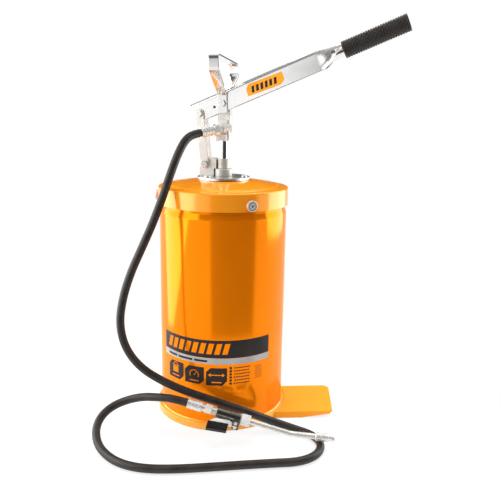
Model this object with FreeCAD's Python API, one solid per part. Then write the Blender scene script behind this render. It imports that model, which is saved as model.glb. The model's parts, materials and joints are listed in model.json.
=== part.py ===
import FreeCAD, Part
import math
import os

# Hand-operated bucket grease pump: a lever pump head on the lid of a round pail, with a delivery hose and a
# control valve. Millimetres, +Z up. The origin is the middle of the drum's underside. The lever swings in the
# XZ plane and its grip points to +X. At rest the lever stands a little above level.

Vec = FreeCAD.Vector

# ---- driving dimensions --------------------------------------------------------------------------
# drum
drum_radius = 120.0
drum_wall = 1.5
base_plate_thickness = 2.5
base_ring_width = 6.5          # how far the ring stands out from the drum
base_ring_height = 13.0
base_ring_wall = 2.5
neck_inset = 2.0               # the neck under the lid is smaller than the drum by this much
shoulder_length = 10.0
neck_length = 33.0
lid_rim_height = 440.0
lid_skirt_height = 32.0
lid_overhang = 2.5             # lid radius beyond the drum radius
lid_wall = 1.5
lid_rim_radius = 4.0
lid_dome_rise = 12.5
lid_gasket_width = 4.0
lid_gasket_thickness = 2.4
fit_gap = 0.2                  # gap between neighbours that only locate each other
# foot plate
foot_azimuth = 18.0
foot_reach = 219.0             # from the drum axis to the outer edge, along the plate's own middle
foot_edge_skew = 14.0          # the back outer corner stands out further than the front one by this much
foot_front = -80.0
foot_back = 37.0
foot_sheet = 3.0
foot_lip_flat = 152.0          # the lips stand on the floor up to here
foot_lip_end = 6.0             # lip height at the outer end
foot_corner_back = 14.0
foot_corner_front = 4.0
# lid screws
lid_screw_azimuths = (-51.0, 69.0, 189.0)
lid_screw_drop = 21.0          # from the lid rim down to the screws
lid_boss_radius = 10.2
lid_boss_height = 2.5
lid_screw_radius = 4.0
lid_screw_head_radius = 9.8
lid_screw_head_height = 5.0
lid_screw_groove = (5.4, 7.6)     # inner and outer radius of the dished ring round the cap
lid_screw_groove_depth = 2.2
lid_screw_socket = 5.0         # across flats
lid_nut_flats = 13.0
lid_nut_height = 6.5
# pump flange and gland
flange_radius = 49.0
flange_thickness = 4.2
flange_gasket_thickness = 1.0
flange_screw_azimuths = (-122.0, -2.0, 118.0)
flange_screw_circle = 40.0
flange_screw_radius = 3.0
flange_screw_head_radius = 5.5
flange_screw_head_height = 3.6
flange_screw_length = 14.0
collar_radius = 16.2
collar_height = 14.2
gland_nut_radius = 11.6
gland_nut_height = 18.7
gland_thread_radius = 10.2
gland_thread_length = 6.0
packing_radius = 12.0
packing_height = 7.0
packing_lift = 0.5
# pump
plunger_radius = 8.6
plunger_bore = 5.0
plunger_foot = 100.0           # height of the plunger tube's lower end
running_gap = 0.05             # radial clearance of sliding fits
cylinder_bore = 12.0
cylinder_wall = 3.0
cylinder_foot = 24.0
piston_length = 18.0
piston_seal_width = 6.0
piston_seal_depth = 2.4
piston_ball_radius = 3.6
piston_seat_bore = 2.6
foot_seat_length = 10.0
foot_seat_bore = 5.0
foot_ball_radius = 6.5
strainer_height = 12.0
strainer_wall = 2.0
strainer_slots = 6
strainer_slot_width = 5.0
# follower plate
follower_height = 300.0
follower_thickness = 4.0
follower_gap = 3.0             # plate edge to drum wall
wiper_thickness = 6.0
wiper_width = 10.0
follower_clearance = 0.35
# pump head
head_gap = 33.0                # from the gland nut up to the head at rest
head_foot_width = 30.0
head_foot_height = 12.0
head_foot_corner = 5.0
head_waist_width = 28.0
head_waist_depth = 22.0
head_shoulder_drop = 29.5      # from the pivot down to the shoulder
head_plunger_depth = 12.0
lug_thickness = 14.4
lug_back = 14.0                # lug edge on the grip side, from the drum axis
lug_front = 9.0
lug_top_radius = 12.0
rib_drop = 21.5                # from the pivot down to the rib's top
rib_thickness = 20.0
rib_start = 6.5
head_boss_radius = 4.2
head_boss_height = 18.5
head_boss_place = (10.2, -11.4)
# outlet
outlet_place = (1.9, -14.0)
outlet_rise = 21.9             # above the head's underside
outlet_azimuth = 229.0
outlet_drop = 8.0
outlet_boss_radius = 9.5
outlet_boss_root = 14.0
outlet_boss_reach = 4.2        # how far the boss stands out beyond the outlet's base point
outlet_bore = 3.5
adapter_flats = 16.0
adapter_length = 6.8
hose_nut_flats = 19.0
hose_nut_length = 11.0
ferrule_radius = 8.9
ferrule_length = 26.0
ferrule_groove_depth = 0.7
ferrule_groove_width = 1.6
# lever
pivot_rise = 67.4              # above the head's underside
lever_angle = 22.8
lever_width = 20.0
lever_sheet = 2.5
lever_above = 20.7             # cheek height above the pivot line
lever_below = 13.7
lever_corner = 6.0
lever_short_end = 60.0         # from the pivot to the link end
lever_channel_end = 186.0
lever_toe_radius = 15.0
lever_hole_place = -16.9
lever_hole_radius = 2.6
neck_end = 226.0
lever_tube_radius = 11.0
lever_tube_wall = 2.2
lever_axis_offset = 3.4        # tube axis above the pivot line
grip_start = 234.0
grip_end = 351.5
grip_radius = 15.1
grip_end_wall = 3.0
# linkage
link_bolt_arm = 47.6           # from the pivot to the upper link bolt
lower_bolt_reach = 33.5        # from the drum axis
lower_bolt_rise = 22.8         # above the flange
link_width = 16.4
link_thickness = 4.0
side_gap = 0.3                 # between parts that turn beside each other
bolt_radius = 4.0
bolt_head_flats = 12.0
bolt_head_height = 4.6
bolt_nut_flats = 12.0
bolt_nut_height = 6.0
bolt_tip = 2.0
bolt_clearance = 0.08
spacer_radius = 6.5
bush_wall = 1.5
link_slack = 3.6               # extra hole radius where the linkage is left open
lug_plate_thickness = 19.6
lug_plate_far = 44.0           # from the drum axis to the outer edge of the fulcrum lug
lug_plate_rise = 33.3          # above the flange
lug_plate_corner = 4.0
# carry handle
handle_width = 18.0
handle_sheet = 3.0
handle_lean = -1.5
handle_bend_radius = 7.0
handle_foot = -17.5            # strap's lower end, from the pivot
handle_roots = (17.0, 15.0)     # where the loop leaves the far and the near ear, above the pivot
handle_far_knee = (62.5, 53.0)
handle_far_top = (56.0, 73.0)
handle_near_top = (-50.0, 82.8)
handle_near_knee = (-50.5, 58.0)
# delivery hose: control points of the route, from the pump head to the control valve
hose_radius = 7.25
hose_bore = 4.0
hose_route = (
    (-50, -78, 525), (-58, -93, 501), (-66, -106, 470), (-76, -119, 430), (-89, -132, 387), (-106, -145, 342),
    (-124, -156, 297), (-136, -165, 252), (-140, -172, 208), (-130, -173, 165), (-104, -169, 129),
    (-65, -160, 103), (-19, -149, 82), (31, -135, 64), (80, -120, 45), (124, -100, 22), (166, -92, 8),
    (202, -104, 7.5), (223, -134, 7.5), (220, -172, 7.5), (194, -201, 7.5), (153, -216, 7.5),
    (105, -235, 7.5), (54, -256, 7.5), (3, -276, 7.5), (-45, -289, 7.5), (-87, -287, 7.5), (-122, -271, 8),
    (-149, -252, 15), (-165, -228, 28), (-167, -203, 41), (-155, -180, 52), (-131, -168, 62),
    (-102, -166, 71), (-72, -170, 76),
)
hose_lead_out = 18.0           # straight run out of the head's ferrule
hose_lead_in = 28.0            # straight run into the control valve's ferrule
# control valve, laid out along its own axis from the end of the hose
gun_start = (-15.0, -167.0, 71.0)
gun_bend = (168.0, -145.0, 26.0)
gun_tip = (246.0, -140.4, 26.0)
gun_neck_length = 7.0
swivel_flats = 15.0
swivel_length = 20.0
valve_radius = 10.6
valve_length = 46.0
tube_nut_flats = 19.0
tube_nut_length = 16.5
spray_tube_radius = 5.0
spray_tube_bore = 2.5
spray_tube_bend = 30.0
coupler_length = 34.0
coupler_radius = 7.4
coupler_nose = 11.0
coupler_nose_radius = 6.0
nipple_bore = 3.2
nipple_depth = 9.0
jaw_slot_width = 1.0
# trigger
trigger_side = (0.0, -0.75, -0.66)
trigger_width = 13.0
trigger_sheet = 2.5
trigger_hinge = 92.0           # along the valve's axis
trigger_hinge_offset = 15.2
trigger_ear_reach = 6.0        # ear edge to the hinge, along the valve
trigger_ear_margin = 4.0       # ear edge beyond the hinge, outwards
trigger_end = 52.0
trigger_end_offset = 20.5
trigger_pin_radius = 2.0
trigger_hub_wall = 2.0
trigger_pin_head = 1.2         # thickness of the pin's formed heads
trigger_pin_lip = 1.0          # how far the heads stand out round the pin
trigger_grip_start = 80.0
trigger_grip_end = 44.0
trigger_grip_width = 17.0
trigger_grip_depth = 14.0
trigger_grip_inner_share = 0.0 # share of the pad's depth on the valve's side of the sheet
trigger_grip_round = 3.0
trigger_grip_wall = 3.0        # sleeve beyond the sheet's end
stem_radius = 2.5
stem_place = 73.0
stem_gap = 0.8                 # between the stem and the trigger at rest
stem_foot_gap = 3.0            # from the passage's wall to the stem's inner end

# ---- places worked out from the driving dimensions -----------------------------------------------
neck_radius = drum_radius - neck_inset
lid_radius = drum_radius + lid_overhang
lid_top = lid_rim_height + lid_dome_rise
neck_top = lid_rim_height - lid_wall - lid_gasket_thickness - fit_gap
shoulder_top = neck_top - neck_length
drum_floor_top = base_plate_thickness + drum_wall
drum_inner = drum_radius - drum_wall
gasket_top = lid_top + flange_gasket_thickness
flange_top = gasket_top + flange_thickness
collar_top = flange_top + collar_height
cylinder_radius = cylinder_bore + cylinder_wall
gland_nut_top = collar_top + gland_nut_height
head_bottom = gland_nut_top + head_gap
pivot_height = head_bottom + pivot_rise
head_shoulder_height = pivot_height - head_shoulder_drop
rib_height = pivot_height - rib_drop
outlet_base = Vec(outlet_place[0], outlet_place[1], head_bottom + outlet_rise)
lug_plate_top = flange_top + lug_plate_rise
lower_bolt_place = (-lower_bolt_reach, flange_top + lower_bolt_rise)
lid_screw_height = lid_rim_height - lid_screw_drop
plunger_top = head_bottom + head_plunger_depth
waist_bottom = head_bottom + head_foot_height
pivot = Vec(0, 0, pivot_height)
cheek_outer = lever_width / 2
bar_inner = cheek_outer + side_gap
bar_outer = bar_inner + link_thickness
ear_outer = bar_inner + handle_sheet


# ---- helpers -------------------------------------------------------------------------------------
def cylinder(radius, low, high, x=0.0, y=0.0):
    return Part.makeCylinder(radius, high - low, Vec(x, y, low))


def ring(outer, inner, low, high, x=0.0, y=0.0):
    return cylinder(outer, low, high, x, y).cut(cylinder(inner, low, high, x, y))


def block(low, high):
    size = [high[i] - low[i] for i in range(3)]
    return Part.makeBox(size[0], size[1], size[2], Vec(*low))


def polygon_wire(points):
    return Part.makePolygon(list(points) + [points[0]])


def revolved(profile):
    """Turn a closed (radius, height) outline about Z."""
    face = Part.Face(polygon_wire([Vec(r, 0, z) for r, z in profile]))
    return face.revolve(Vec(0, 0, 0), Vec(0, 0, 1), 360)


def hexagon(flats, low, high):
    """A hexagonal bar about Z."""
    corner = flats / math.sqrt(3)
    points = [Vec(corner * math.cos(math.radians(a)), corner * math.sin(math.radians(a)), low)
              for a in range(0, 360, 60)]
    return Part.Face(polygon_wire(points)).extrude(Vec(0, 0, high - low))


def hex_nut(flats, bore, low, high):
    """A hexagonal nut about Z with turned-off corners and a plain bore."""
    corner = flats / math.sqrt(3)
    chamfer = corner - flats / 2
    turned = revolved([(0, low), (flats / 2, low), (corner, low + chamfer / 2), (corner, high - chamfer / 2),
                       (flats / 2, high), (0, high)])
    return hexagon(flats, low, high).common(turned).cut(cylinder(bore, low - 1, high + 1))


def along(shape, start, direction):
    """Move a shape built about +Z so that its origin is at start and its +Z lies along direction."""
    placed = shape.copy()
    turn = FreeCAD.Rotation(Vec(0, 0, 1), direction)
    placed.Placement = FreeCAD.Placement(start, turn)
    return placed


def across(shape, x, z):
    """Lay a shape built about +Z along +Y, at a place in the lever's plane."""
    return along(shape, Vec(x, 0, z), Vec(0, 1, 0))


def polar(radius, azimuth, z):
    return Vec(radius * math.cos(math.radians(azimuth)), radius * math.sin(math.radians(azimuth)), z)


def fused(shapes):
    result = shapes[0]
    for shape in shapes[1:]:
        result = result.fuse(shape)
    return result.removeSplitter()


def rounded_vertical(shape, radius, chosen):
    """Round the upright edges that the test picks by their middle point."""
    edges = [e for e in shape.Edges if abs(e.tangentAt(e.FirstParameter).z) > 0.999
             and chosen(e.CenterOfMass)]
    return shape.makeFillet(radius, edges)


def rounded_corner_wire(points, radius):
    """An open wire of straight runs whose corners are tangent arcs of one radius."""
    edges = []
    at = points[0]
    for before, corner, after in zip(points, points[1:], points[2:]):
        back = (before - corner).normalize()
        ahead = (after - corner).normalize()
        half_turn = (math.pi - back.getAngle(ahead)) / 2
        reach = radius * math.tan(half_turn)
        start, end = corner + back * reach, corner + ahead * reach
        toward = (back + ahead).normalize()
        middle = corner + toward * (radius / math.cos(half_turn) - radius)
        edges.append(Part.LineSegment(at, start).toShape())
        edges.append(Part.Arc(start, middle, end).toShape())
        at = end
    edges.append(Part.LineSegment(at, points[-1]).toShape())
    return Part.Wire(edges)


def lever_point(reach, rise):
    """A place on the lever: reach along it from the pivot, rise square to it."""
    turn = math.radians(lever_angle)
    return Vec(reach * math.cos(turn) - rise * math.sin(turn), 0,
               pivot_height + reach * math.sin(turn) + rise * math.cos(turn))


# ---- drum ----------------------------------------------------------------------------------------
def base_plate():
    return cylinder(drum_radius + base_ring_width - base_ring_wall - fit_gap, 0, base_plate_thickness)


def base_ring():
    outer = drum_radius + base_ring_width
    inner = outer - base_ring_wall
    top = base_ring_height
    soft = base_ring_wall / 2
    return revolved([(inner, 0), (outer - soft, 0), (outer, soft), (outer, top - soft), (outer - soft, top),
                     (drum_radius + fit_gap, top), (drum_radius + fit_gap, top - base_ring_wall),
                     (inner, top - base_ring_wall)])


def foot_plate():
    """A pressed step beside the drum: a flat top with a lip turned down along each long edge."""
    sheet_low = base_ring_height - foot_sheet
    front_reach = foot_reach - foot_edge_skew / 2
    back_reach = foot_reach + foot_edge_skew / 2
    outline = [Vec(0, foot_front, sheet_low), Vec(front_reach, foot_front, sheet_low),
               Vec(back_reach, foot_back, sheet_low), Vec(0, foot_back, sheet_low)]
    top = Part.Face(polygon_wire(outline)).extrude(Vec(0, 0, foot_sheet))
    middle = (foot_front + foot_back) / 2
    top = rounded_vertical(top, foot_corner_back, lambda c: c.x > foot_reach / 2 and c.y > middle)
    top = rounded_vertical(top, foot_corner_front, lambda c: c.x > foot_reach / 2 and c.y < middle)

    def lip(edge, inward, reach):
        end_low = base_ring_height - foot_lip_end
        side = [Vec(0, edge, 0), Vec(foot_lip_flat, edge, 0), Vec(reach, edge, end_low),
                Vec(reach, edge, sheet_low), Vec(0, edge, sheet_low)]
        return Part.Face(polygon_wire(side)).extrude(Vec(0, inward * foot_sheet, 0))

    front = lip(foot_front, 1, front_reach - foot_corner_front)
    back = lip(foot_back, -1, back_reach - foot_corner_back - foot_sheet)
    plate = fused([top, front, back])
    plate.rotate(Vec(0, 0, 0), Vec(0, 0, 1), foot_azimuth)
    return plate.cut(cylinder(drum_radius + base_ring_width + fit_gap, -1, base_ring_height + 1))


def drum_shell():
    low = base_plate_thickness
    shoulder_low = shoulder_top - shoulder_length
    outer = [(0, low), (drum_radius, low), (drum_radius, shoulder_low), (neck_radius, shoulder_top),
             (neck_radius, neck_top)]
    inner = [(neck_radius - drum_wall, neck_top), (neck_radius - drum_wall, shoulder_top),
             (drum_inner, shoulder_low), (drum_inner, drum_floor_top), (0, drum_floor_top)]
    shell = revolved(outer + inner)
    for azimuth in lid_screw_azimuths:
        hole = Part.makeCylinder(lid_screw_radius + fit_gap, lid_radius)
        shell = shell.cut(along(hole, Vec(0, 0, lid_screw_height), polar(1, azimuth, 0)))
    return shell


def lid():
    """A shallow dome with a turned-down skirt, closed round the pump cylinder."""
    edge = lid_radius - lid_rim_radius
    slope_start = lid_rim_height
    hole = cylinder_radius + fit_gap
    arc = [(edge + lid_rim_radius * math.sin(math.radians(a)),
            slope_start - lid_rim_radius * (1 - math.cos(math.radians(a)))) for a in range(0, 91, 15)]
    inner_radius = lid_rim_radius - lid_wall
    arc_in = [(edge + inner_radius * math.sin(math.radians(a)),
               slope_start - lid_wall - inner_radius * (1 - math.cos(math.radians(a))))
              for a in range(90, -1, -15)]
    low = lid_rim_height - lid_skirt_height
    crown = flange_radius + 1
    profile = [(hole, lid_top), (crown, lid_top)] + arc + [(lid_radius, low), (lid_radius - lid_wall, low)]
    profile += arc_in + [(crown, lid_top - lid_wall), (hole, lid_top - lid_wall)]
    cover = revolved(profile)
    for azimuth in lid_screw_azimuths:
        hole_bar = Part.makeCylinder(lid_screw_radius + fit_gap, lid_radius + 1)
        cover = cover.cut(along(hole_bar, Vec(0, 0, lid_screw_height), polar(1, azimuth, 0)))
    for azimuth in flange_screw_azimuths:
        place = polar(flange_screw_circle, azimuth, 0)
        cover = cover.cut(cylinder(flange_screw_radius + fit_gap, lid_top - lid_wall - 1, lid_top + 1,
                                   place.x, place.y))
    return cover


def lid_bosses():
    """Welded pads that give the lid screws a flat seat."""
    pads = []
    for azimuth in lid_screw_azimuths:
        pad = Part.makeCylinder(lid_boss_radius, lid_boss_height + 2, Vec(0, 0, lid_radius - 2))
        pad = pad.cut(Part.makeCylinder(lid_screw_radius + fit_gap, lid_radius + lid_boss_height))
        pad = along(pad, Vec(0, 0, lid_screw_height), polar(1, azimuth, 0))
        pads.append(pad.cut(cylinder(lid_radius, 0, lid_rim_height)))
    return Part.makeCompound(pads)


def lid_screws():
    screws = []
    seat = lid_radius + lid_boss_height
    tip = neck_radius - drum_wall - lid_nut_height - bolt_tip
    socket_depth = lid_screw_head_height * 0.6
    for azimuth in lid_screw_azimuths:
        shank = Part.makeCylinder(lid_screw_radius, seat - tip, Vec(0, 0, tip))
        head = cylinder(lid_screw_head_radius, seat, seat + lid_screw_head_height)
        rim = [e for e in head.Edges if abs(e.CenterOfMass.z - seat - lid_screw_head_height) < 0.01]
        head = head.makeFillet(lid_screw_head_height * 0.3, rim)
        head_top = seat + lid_screw_head_height
        dish = ring(lid_screw_groove[1], lid_screw_groove[0], head_top - lid_screw_groove_depth, head_top + 1)
        head = head.cut(dish)
        screw = head.fuse(shank).cut(hexagon(lid_screw_socket, head_top - socket_depth, head_top + 1))
        screws.append(along(screw, Vec(0, 0, lid_screw_height), polar(1, azimuth, 0)))
    return Part.makeCompound(screws)


def lid_nuts():
    nuts = []
    high = neck_radius - drum_wall - fit_gap
    for azimuth in lid_screw_azimuths:
        nut = hex_nut(lid_nut_flats, lid_screw_radius, high - lid_nut_height, high)
        nut = along(nut, Vec(0, 0, lid_screw_height), polar(1, azimuth, 0))
        nuts.append(nut.common(cylinder(neck_radius - drum_wall, 0, lid_rim_height)))
    return Part.makeCompound(nuts)


def lid_gasket():
    return ring(neck_radius, neck_radius - lid_gasket_width, neck_top, neck_top + lid_gasket_thickness)


# ---- pump flange and gland -----------------------------------------------------------------------
def flange_holes(shape, radius):
    for azimuth in flange_screw_azimuths:
        place = polar(flange_screw_circle, azimuth, 0)
        shape = shape.cut(cylinder(radius, lid_top - 1, flange_top + 1, place.x, place.y))
    return shape


def flange_gasket():
    return flange_holes(ring(flange_radius, cylinder_radius + fit_gap, lid_top, gasket_top),
                        flange_screw_radius + fit_gap)


def pump_flange():
    disc = ring(flange_radius, cylinder_radius, gasket_top, flange_top)
    rim = [e for e in disc.Edges if abs(e.CenterOfMass.z - flange_top) < 0.01
           and e.BoundBox.XMax > flange_radius - 1]
    return flange_holes(disc.makeFillet(flange_thickness * 0.3, rim), flange_screw_radius + fit_gap)


def flange_screws():
    screws = []
    for azimuth in flange_screw_azimuths:
        place = polar(flange_screw_circle, azimuth, 0)
        head = cylinder(flange_screw_head_radius, flange_top, flange_top + flange_screw_head_height,
                        place.x, place.y)
        rim = [e for e in head.Edges if abs(e.CenterOfMass.z - flange_top - flange_screw_head_height) < 0.01]
        head = head.makeFillet(flange_screw_head_height * 0.6, rim)
        shank = cylinder(flange_screw_radius, flange_top - flange_screw_length, flange_top, place.x, place.y)
        screws.append(head.fuse(shank))
    return Part.makeCompound(screws)


def gland_collar():
    """The packing housing on the flange, bored for the plunger below and for the gland nut above."""
    body = cylinder(collar_radius, flange_top, collar_top)
    rim = [e for e in body.Edges if abs(e.CenterOfMass.z - collar_top) < 0.01]
    body = body.makeChamfer(1.0, rim)
    body = body.cut(cylinder(plunger_radius + 2 * running_gap, flange_top, collar_top))
    pocket_low = collar_top - gland_thread_length - packing_height
    return body.cut(cylinder(packing_radius, pocket_low, collar_top + 1))


def gland_packing():
    low = collar_top - gland_thread_length - packing_height
    high = low + packing_height - packing_lift
    return ring(packing_radius - running_gap, plunger_radius + running_gap, low, high)


def gland_nut():
    nut = cylinder(gland_nut_radius, collar_top, collar_top + gland_nut_height)
    rim = [e for e in nut.Edges if abs(e.CenterOfMass.z - collar_top - gland_nut_height) < 0.01]
    nut = nut.makeChamfer(1.2, rim)
    thread = cylinder(gland_thread_radius, collar_top - gland_thread_length, collar_top)
    bore = cylinder(plunger_radius + 2 * running_gap, collar_top - gland_thread_length - 1,
                    collar_top + gland_nut_height + 1)
    return nut.fuse(thread).cut(bore)


def fulcrum_lug():
    """The upright lug beside the collar that holds the link bars' lower bolt."""
    half = lug_plate_thickness / 2
    lower_end = -(collar_radius + fit_gap)
    upper_end = -(gland_nut_radius + fit_gap)
    lower = block((-lug_plate_far, -half, flange_top), (lower_end, half, collar_top + fit_gap))
    upper = block((-lug_plate_far, -half, collar_top + fit_gap), (upper_end, half, lug_plate_top))
    lug = fused([lower, upper])
    corners = [e for e in lug.Edges if abs(e.CenterOfMass.z - lug_plate_top) < 0.01
               and abs(e.tangentAt(e.FirstParameter).y) > 0.999]
    lug = lug.makeFillet(lug_plate_corner, corners)
    x, z = lower_bolt_place
    hole = Part.makeCylinder(bolt_radius + link_slack, lug_plate_thickness + 2, Vec(0, 0, -half - 1))
    return lug.cut(across(hole, x, z))


# ---- pump ----------------------------------------------------------------------------------------
def pump_cylinder():
    return ring(cylinder_radius, cylinder_bore, cylinder_foot, flange_top)


def plunger_tube():
    return ring(plunger_radius, plunger_bore, plunger_foot, plunger_top)


def piston():
    low = plunger_foot - piston_length
    body = cylinder(cylinder_bore - running_gap, low, plunger_foot)
    groove_low = low + (piston_length - piston_seal_width) / 2
    groove = ring(cylinder_bore + 1, cylinder_bore - piston_seal_depth, groove_low,
                  groove_low + piston_seal_width)
    chamber_low = plunger_foot - 2 * piston_ball_radius - 3
    chamber = cylinder(piston_ball_radius + 0.6, chamber_low, plunger_foot)
    return body.cut(groove).cut(chamber).cut(cylinder(piston_seat_bore, low, plunger_foot))


def piston_seal():
    low = plunger_foot - piston_length + (piston_length - piston_seal_width) / 2
    return ring(cylinder_bore - running_gap, cylinder_bore - piston_seal_depth, low, low + piston_seal_width)


def ball_on_seat(radius, bore, seat_top):
    """A ball that rests on the sharp edge of a round hole."""
    lift = math.sqrt(radius ** 2 - bore ** 2)
    return Part.makeSphere(radius, Vec(0, 0, seat_top + lift + 0.02))


def piston_ball():
    return ball_on_seat(piston_ball_radius, piston_seat_bore, plunger_foot - 2 * piston_ball_radius - 3)


def foot_valve_seat():
    return ring(cylinder_bore, foot_seat_bore, cylinder_foot, cylinder_foot + foot_seat_length)


def foot_valve_ball():
    return ball_on_seat(foot_ball_radius, foot_seat_bore, cylinder_foot + foot_seat_length)


def strainer():
    """A slotted cup under the cylinder that lets grease in from the drum floor."""
    low = cylinder_foot - strainer_height
    cup = ring(cylinder_radius, cylinder_radius - strainer_wall, low, cylinder_foot)
    cup = cup.fuse(cylinder(cylinder_radius, low, low + strainer_wall)).removeSplitter()
    for i in range(strainer_slots):
        slot = block((0, -strainer_slot_width / 2, low + 2 * strainer_wall),
                     (cylinder_radius + 1, strainer_slot_width / 2, cylinder_foot - strainer_wall))
        slot.rotate(Vec(0, 0, 0), Vec(0, 0, 1), i * 360.0 / strainer_slots)
        cup = cup.cut(slot)
    return cup


def follower_plate():
    outer = drum_inner - follower_gap
    inner = cylinder_radius + follower_gap
    return ring(outer, inner, follower_height, follower_height + follower_thickness)


def follower_wiper():
    """Rubber lips above the plate: one against the drum wall and one against the pump cylinder."""
    low = follower_height + follower_thickness
    outer = drum_inner - follower_clearance
    inner = cylinder_radius + follower_clearance
    outer_lip = ring(outer, outer - wiper_width, low, low + wiper_thickness)
    inner_lip = ring(inner + wiper_width, inner, low, low + wiper_thickness)
    return Part.makeCompound([outer_lip, inner_lip])


# ---- pump head -----------------------------------------------------------------------------------
outlet_direction = Vec(
    math.cos(math.radians(outlet_azimuth)) * math.cos(math.radians(outlet_drop)),
    math.sin(math.radians(outlet_azimuth)) * math.cos(math.radians(outlet_drop)),
    -math.sin(math.radians(outlet_drop)))


def rounded_block(width, depth, low, high, corner):
    shape = block((-width / 2, -depth / 2, low), (width / 2, depth / 2, high))
    return rounded_vertical(shape, corner, lambda c: True)


def pump_head():
    """The casting on top of the plunger: a foot, a waist with the outlet boss, and a lug for the lever."""
    foot = rounded_block(head_foot_width, head_foot_width, head_bottom, waist_bottom, head_foot_corner)
    waist = rounded_block(head_waist_width, head_waist_depth, waist_bottom, head_shoulder_height,
                          head_foot_corner)
    half = lug_thickness / 2
    outline = [Vec(-lug_front, -half, waist_bottom), Vec(-lug_front, -half, pivot_height),
               Vec(0, -half, pivot_height), Vec(lug_top_radius, -half, pivot_height),
               Vec(lug_back, -half, rib_height), Vec(lug_back, -half, waist_bottom)]
    lug = Part.Face(polygon_wire(outline)).extrude(Vec(0, lug_thickness, 0))
    eye = Part.makeCylinder(lug_top_radius, lug_thickness, Vec(0, -half, pivot_height), Vec(0, 1, 0))
    rib = block((rib_start, -rib_thickness / 2, waist_bottom), (lug_back, rib_thickness / 2, rib_height))
    port_length = outlet_boss_root + outlet_boss_reach
    port = along(Part.makeCylinder(outlet_boss_radius, port_length, Vec(0, 0, -outlet_boss_root)),
                 outlet_base, outlet_direction)
    boss = cylinder(head_boss_radius, head_bottom, head_bottom + head_boss_height, *head_boss_place)
    casting = fused([foot, waist, lug, eye, rib, port, boss])
    casting = casting.cut(cylinder(plunger_radius, head_bottom, plunger_top))
    casting = casting.cut(cylinder(plunger_bore, plunger_top, outlet_base.z + outlet_bore))
    channel = along(Part.makeCylinder(outlet_bore, port_length + 3, Vec(0, 0, -outlet_boss_root - 2)),
                    outlet_base, outlet_direction)
    eye_bore = Part.makeCylinder(bolt_radius + bush_wall, lug_thickness + 2, Vec(0, -half - 1, pivot_height),
                                 Vec(0, 1, 0))
    return casting.cut(channel).cut(eye_bore)


def pivot_bush():
    half = lug_thickness / 2
    return across(ring(bolt_radius + bush_wall, bolt_radius, -half, half), 0, pivot_height)


def on_outlet(shape, distance):
    return along(shape, outlet_base + outlet_direction * distance, outlet_direction)


def outlet_adapter():
    adapter = hex_nut(adapter_flats, outlet_bore, 0, adapter_length)
    return on_outlet(adapter, outlet_boss_reach)


def outlet_nut():
    nut = hex_nut(hose_nut_flats, outlet_bore, 0, hose_nut_length)
    return on_outlet(nut, outlet_boss_reach + adapter_length)


def ferrule():
    """A crimped sleeve with three shallow grooves."""
    sleeve = ring(ferrule_radius, hose_bore, 0, ferrule_length)
    for i in (1, 2, 3):
        low = ferrule_length * i / 4 - ferrule_groove_width / 2
        sleeve = sleeve.cut(ring(ferrule_radius + 1, ferrule_radius - ferrule_groove_depth, low,
                                 low + ferrule_groove_width))
    return sleeve


def head_ferrule():
    return on_outlet(ferrule(), outlet_boss_reach + adapter_length + hose_nut_length)


# ---- bolts ---------------------------------------------------------------------------------------
def cross_bolt(x, z, seat):
    """A hexagon bolt across the lever's plane, with its head on the -Y side."""
    head = hex_nut(bolt_head_flats, 0.01, -seat - bolt_head_height, -seat)
    head = hexagon(bolt_head_flats, -seat - bolt_head_height, -seat).common(
        cylinder(bolt_head_flats / math.sqrt(3) * 0.96, -seat - bolt_head_height, -seat))
    shank = cylinder(bolt_radius, -seat, seat + bolt_nut_height + bolt_tip)
    return across(head.fuse(shank), x, z)


def cross_nut(x, z, seat):
    return across(hex_nut(bolt_nut_flats, bolt_radius, seat, seat + bolt_nut_height), x, z)


def upper_bolt_place():
    return lever_point(-link_bolt_arm, 0)


# ---- lever ---------------------------------------------------------------------------------------
def cheek_hole(reach, radius):
    place = lever_point(reach, 0)
    return across(cylinder(radius, -lever_width, lever_width), place.x, place.z)


def lever_channel():
    """A folded channel, open below, with rounded top corners and a rounded toe at the link end."""
    half = lever_width / 2

    def section(inset, bottom):
        low, high = -lever_below - bottom, lever_above - inset
        wide = half - inset
        corner = lever_corner - inset
        straight = [Vec(0, -wide, low), Vec(0, -wide, high - corner)]
        first = Part.LineSegment(straight[0], straight[1]).toShape()
        mid = corner * (1 - math.sqrt(0.5))
        left = Part.Arc(Vec(0, -wide, high - corner), Vec(0, -wide + mid, high - mid),
                        Vec(0, -wide + corner, high)).toShape()
        top = Part.LineSegment(Vec(0, -wide + corner, high), Vec(0, wide - corner, high)).toShape()
        right = Part.Arc(Vec(0, wide - corner, high), Vec(0, wide - mid, high - mid),
                         Vec(0, wide, high - corner)).toShape()
        last = Part.LineSegment(Vec(0, wide, high - corner), Vec(0, wide, low)).toShape()
        close = Part.LineSegment(Vec(0, wide, low), Vec(0, -wide, low)).toShape()
        return Part.Face(Part.Wire([first, left, top, right, last, close]))

    length = lever_short_end + lever_channel_end
    outside = section(0, 0).extrude(Vec(length, 0, 0))
    inside = section(lever_sheet, 1).extrude(Vec(length, 0, 0))
    channel = outside.cut(inside)
    toe = block((0, -half - 1, -lever_below), (lever_toe_radius, half + 1, -lever_below + lever_toe_radius))
    toe = toe.cut(across(cylinder(lever_toe_radius, -lever_width, lever_width),
                         lever_toe_radius, -lever_below + lever_toe_radius))
    channel = channel.cut(toe)
    channel.translate(Vec(-lever_short_end, 0, 0))
    channel.rotate(Vec(0, 0, 0), Vec(0, 1, 0), -lever_angle)
    channel.translate(pivot)
    channel = channel.cut(cheek_hole(0, bolt_radius + bolt_clearance))
    channel = channel.cut(cheek_hole(-link_bolt_arm, bolt_radius))
    return channel.cut(cheek_hole(lever_hole_place, lever_hole_radius))


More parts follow.
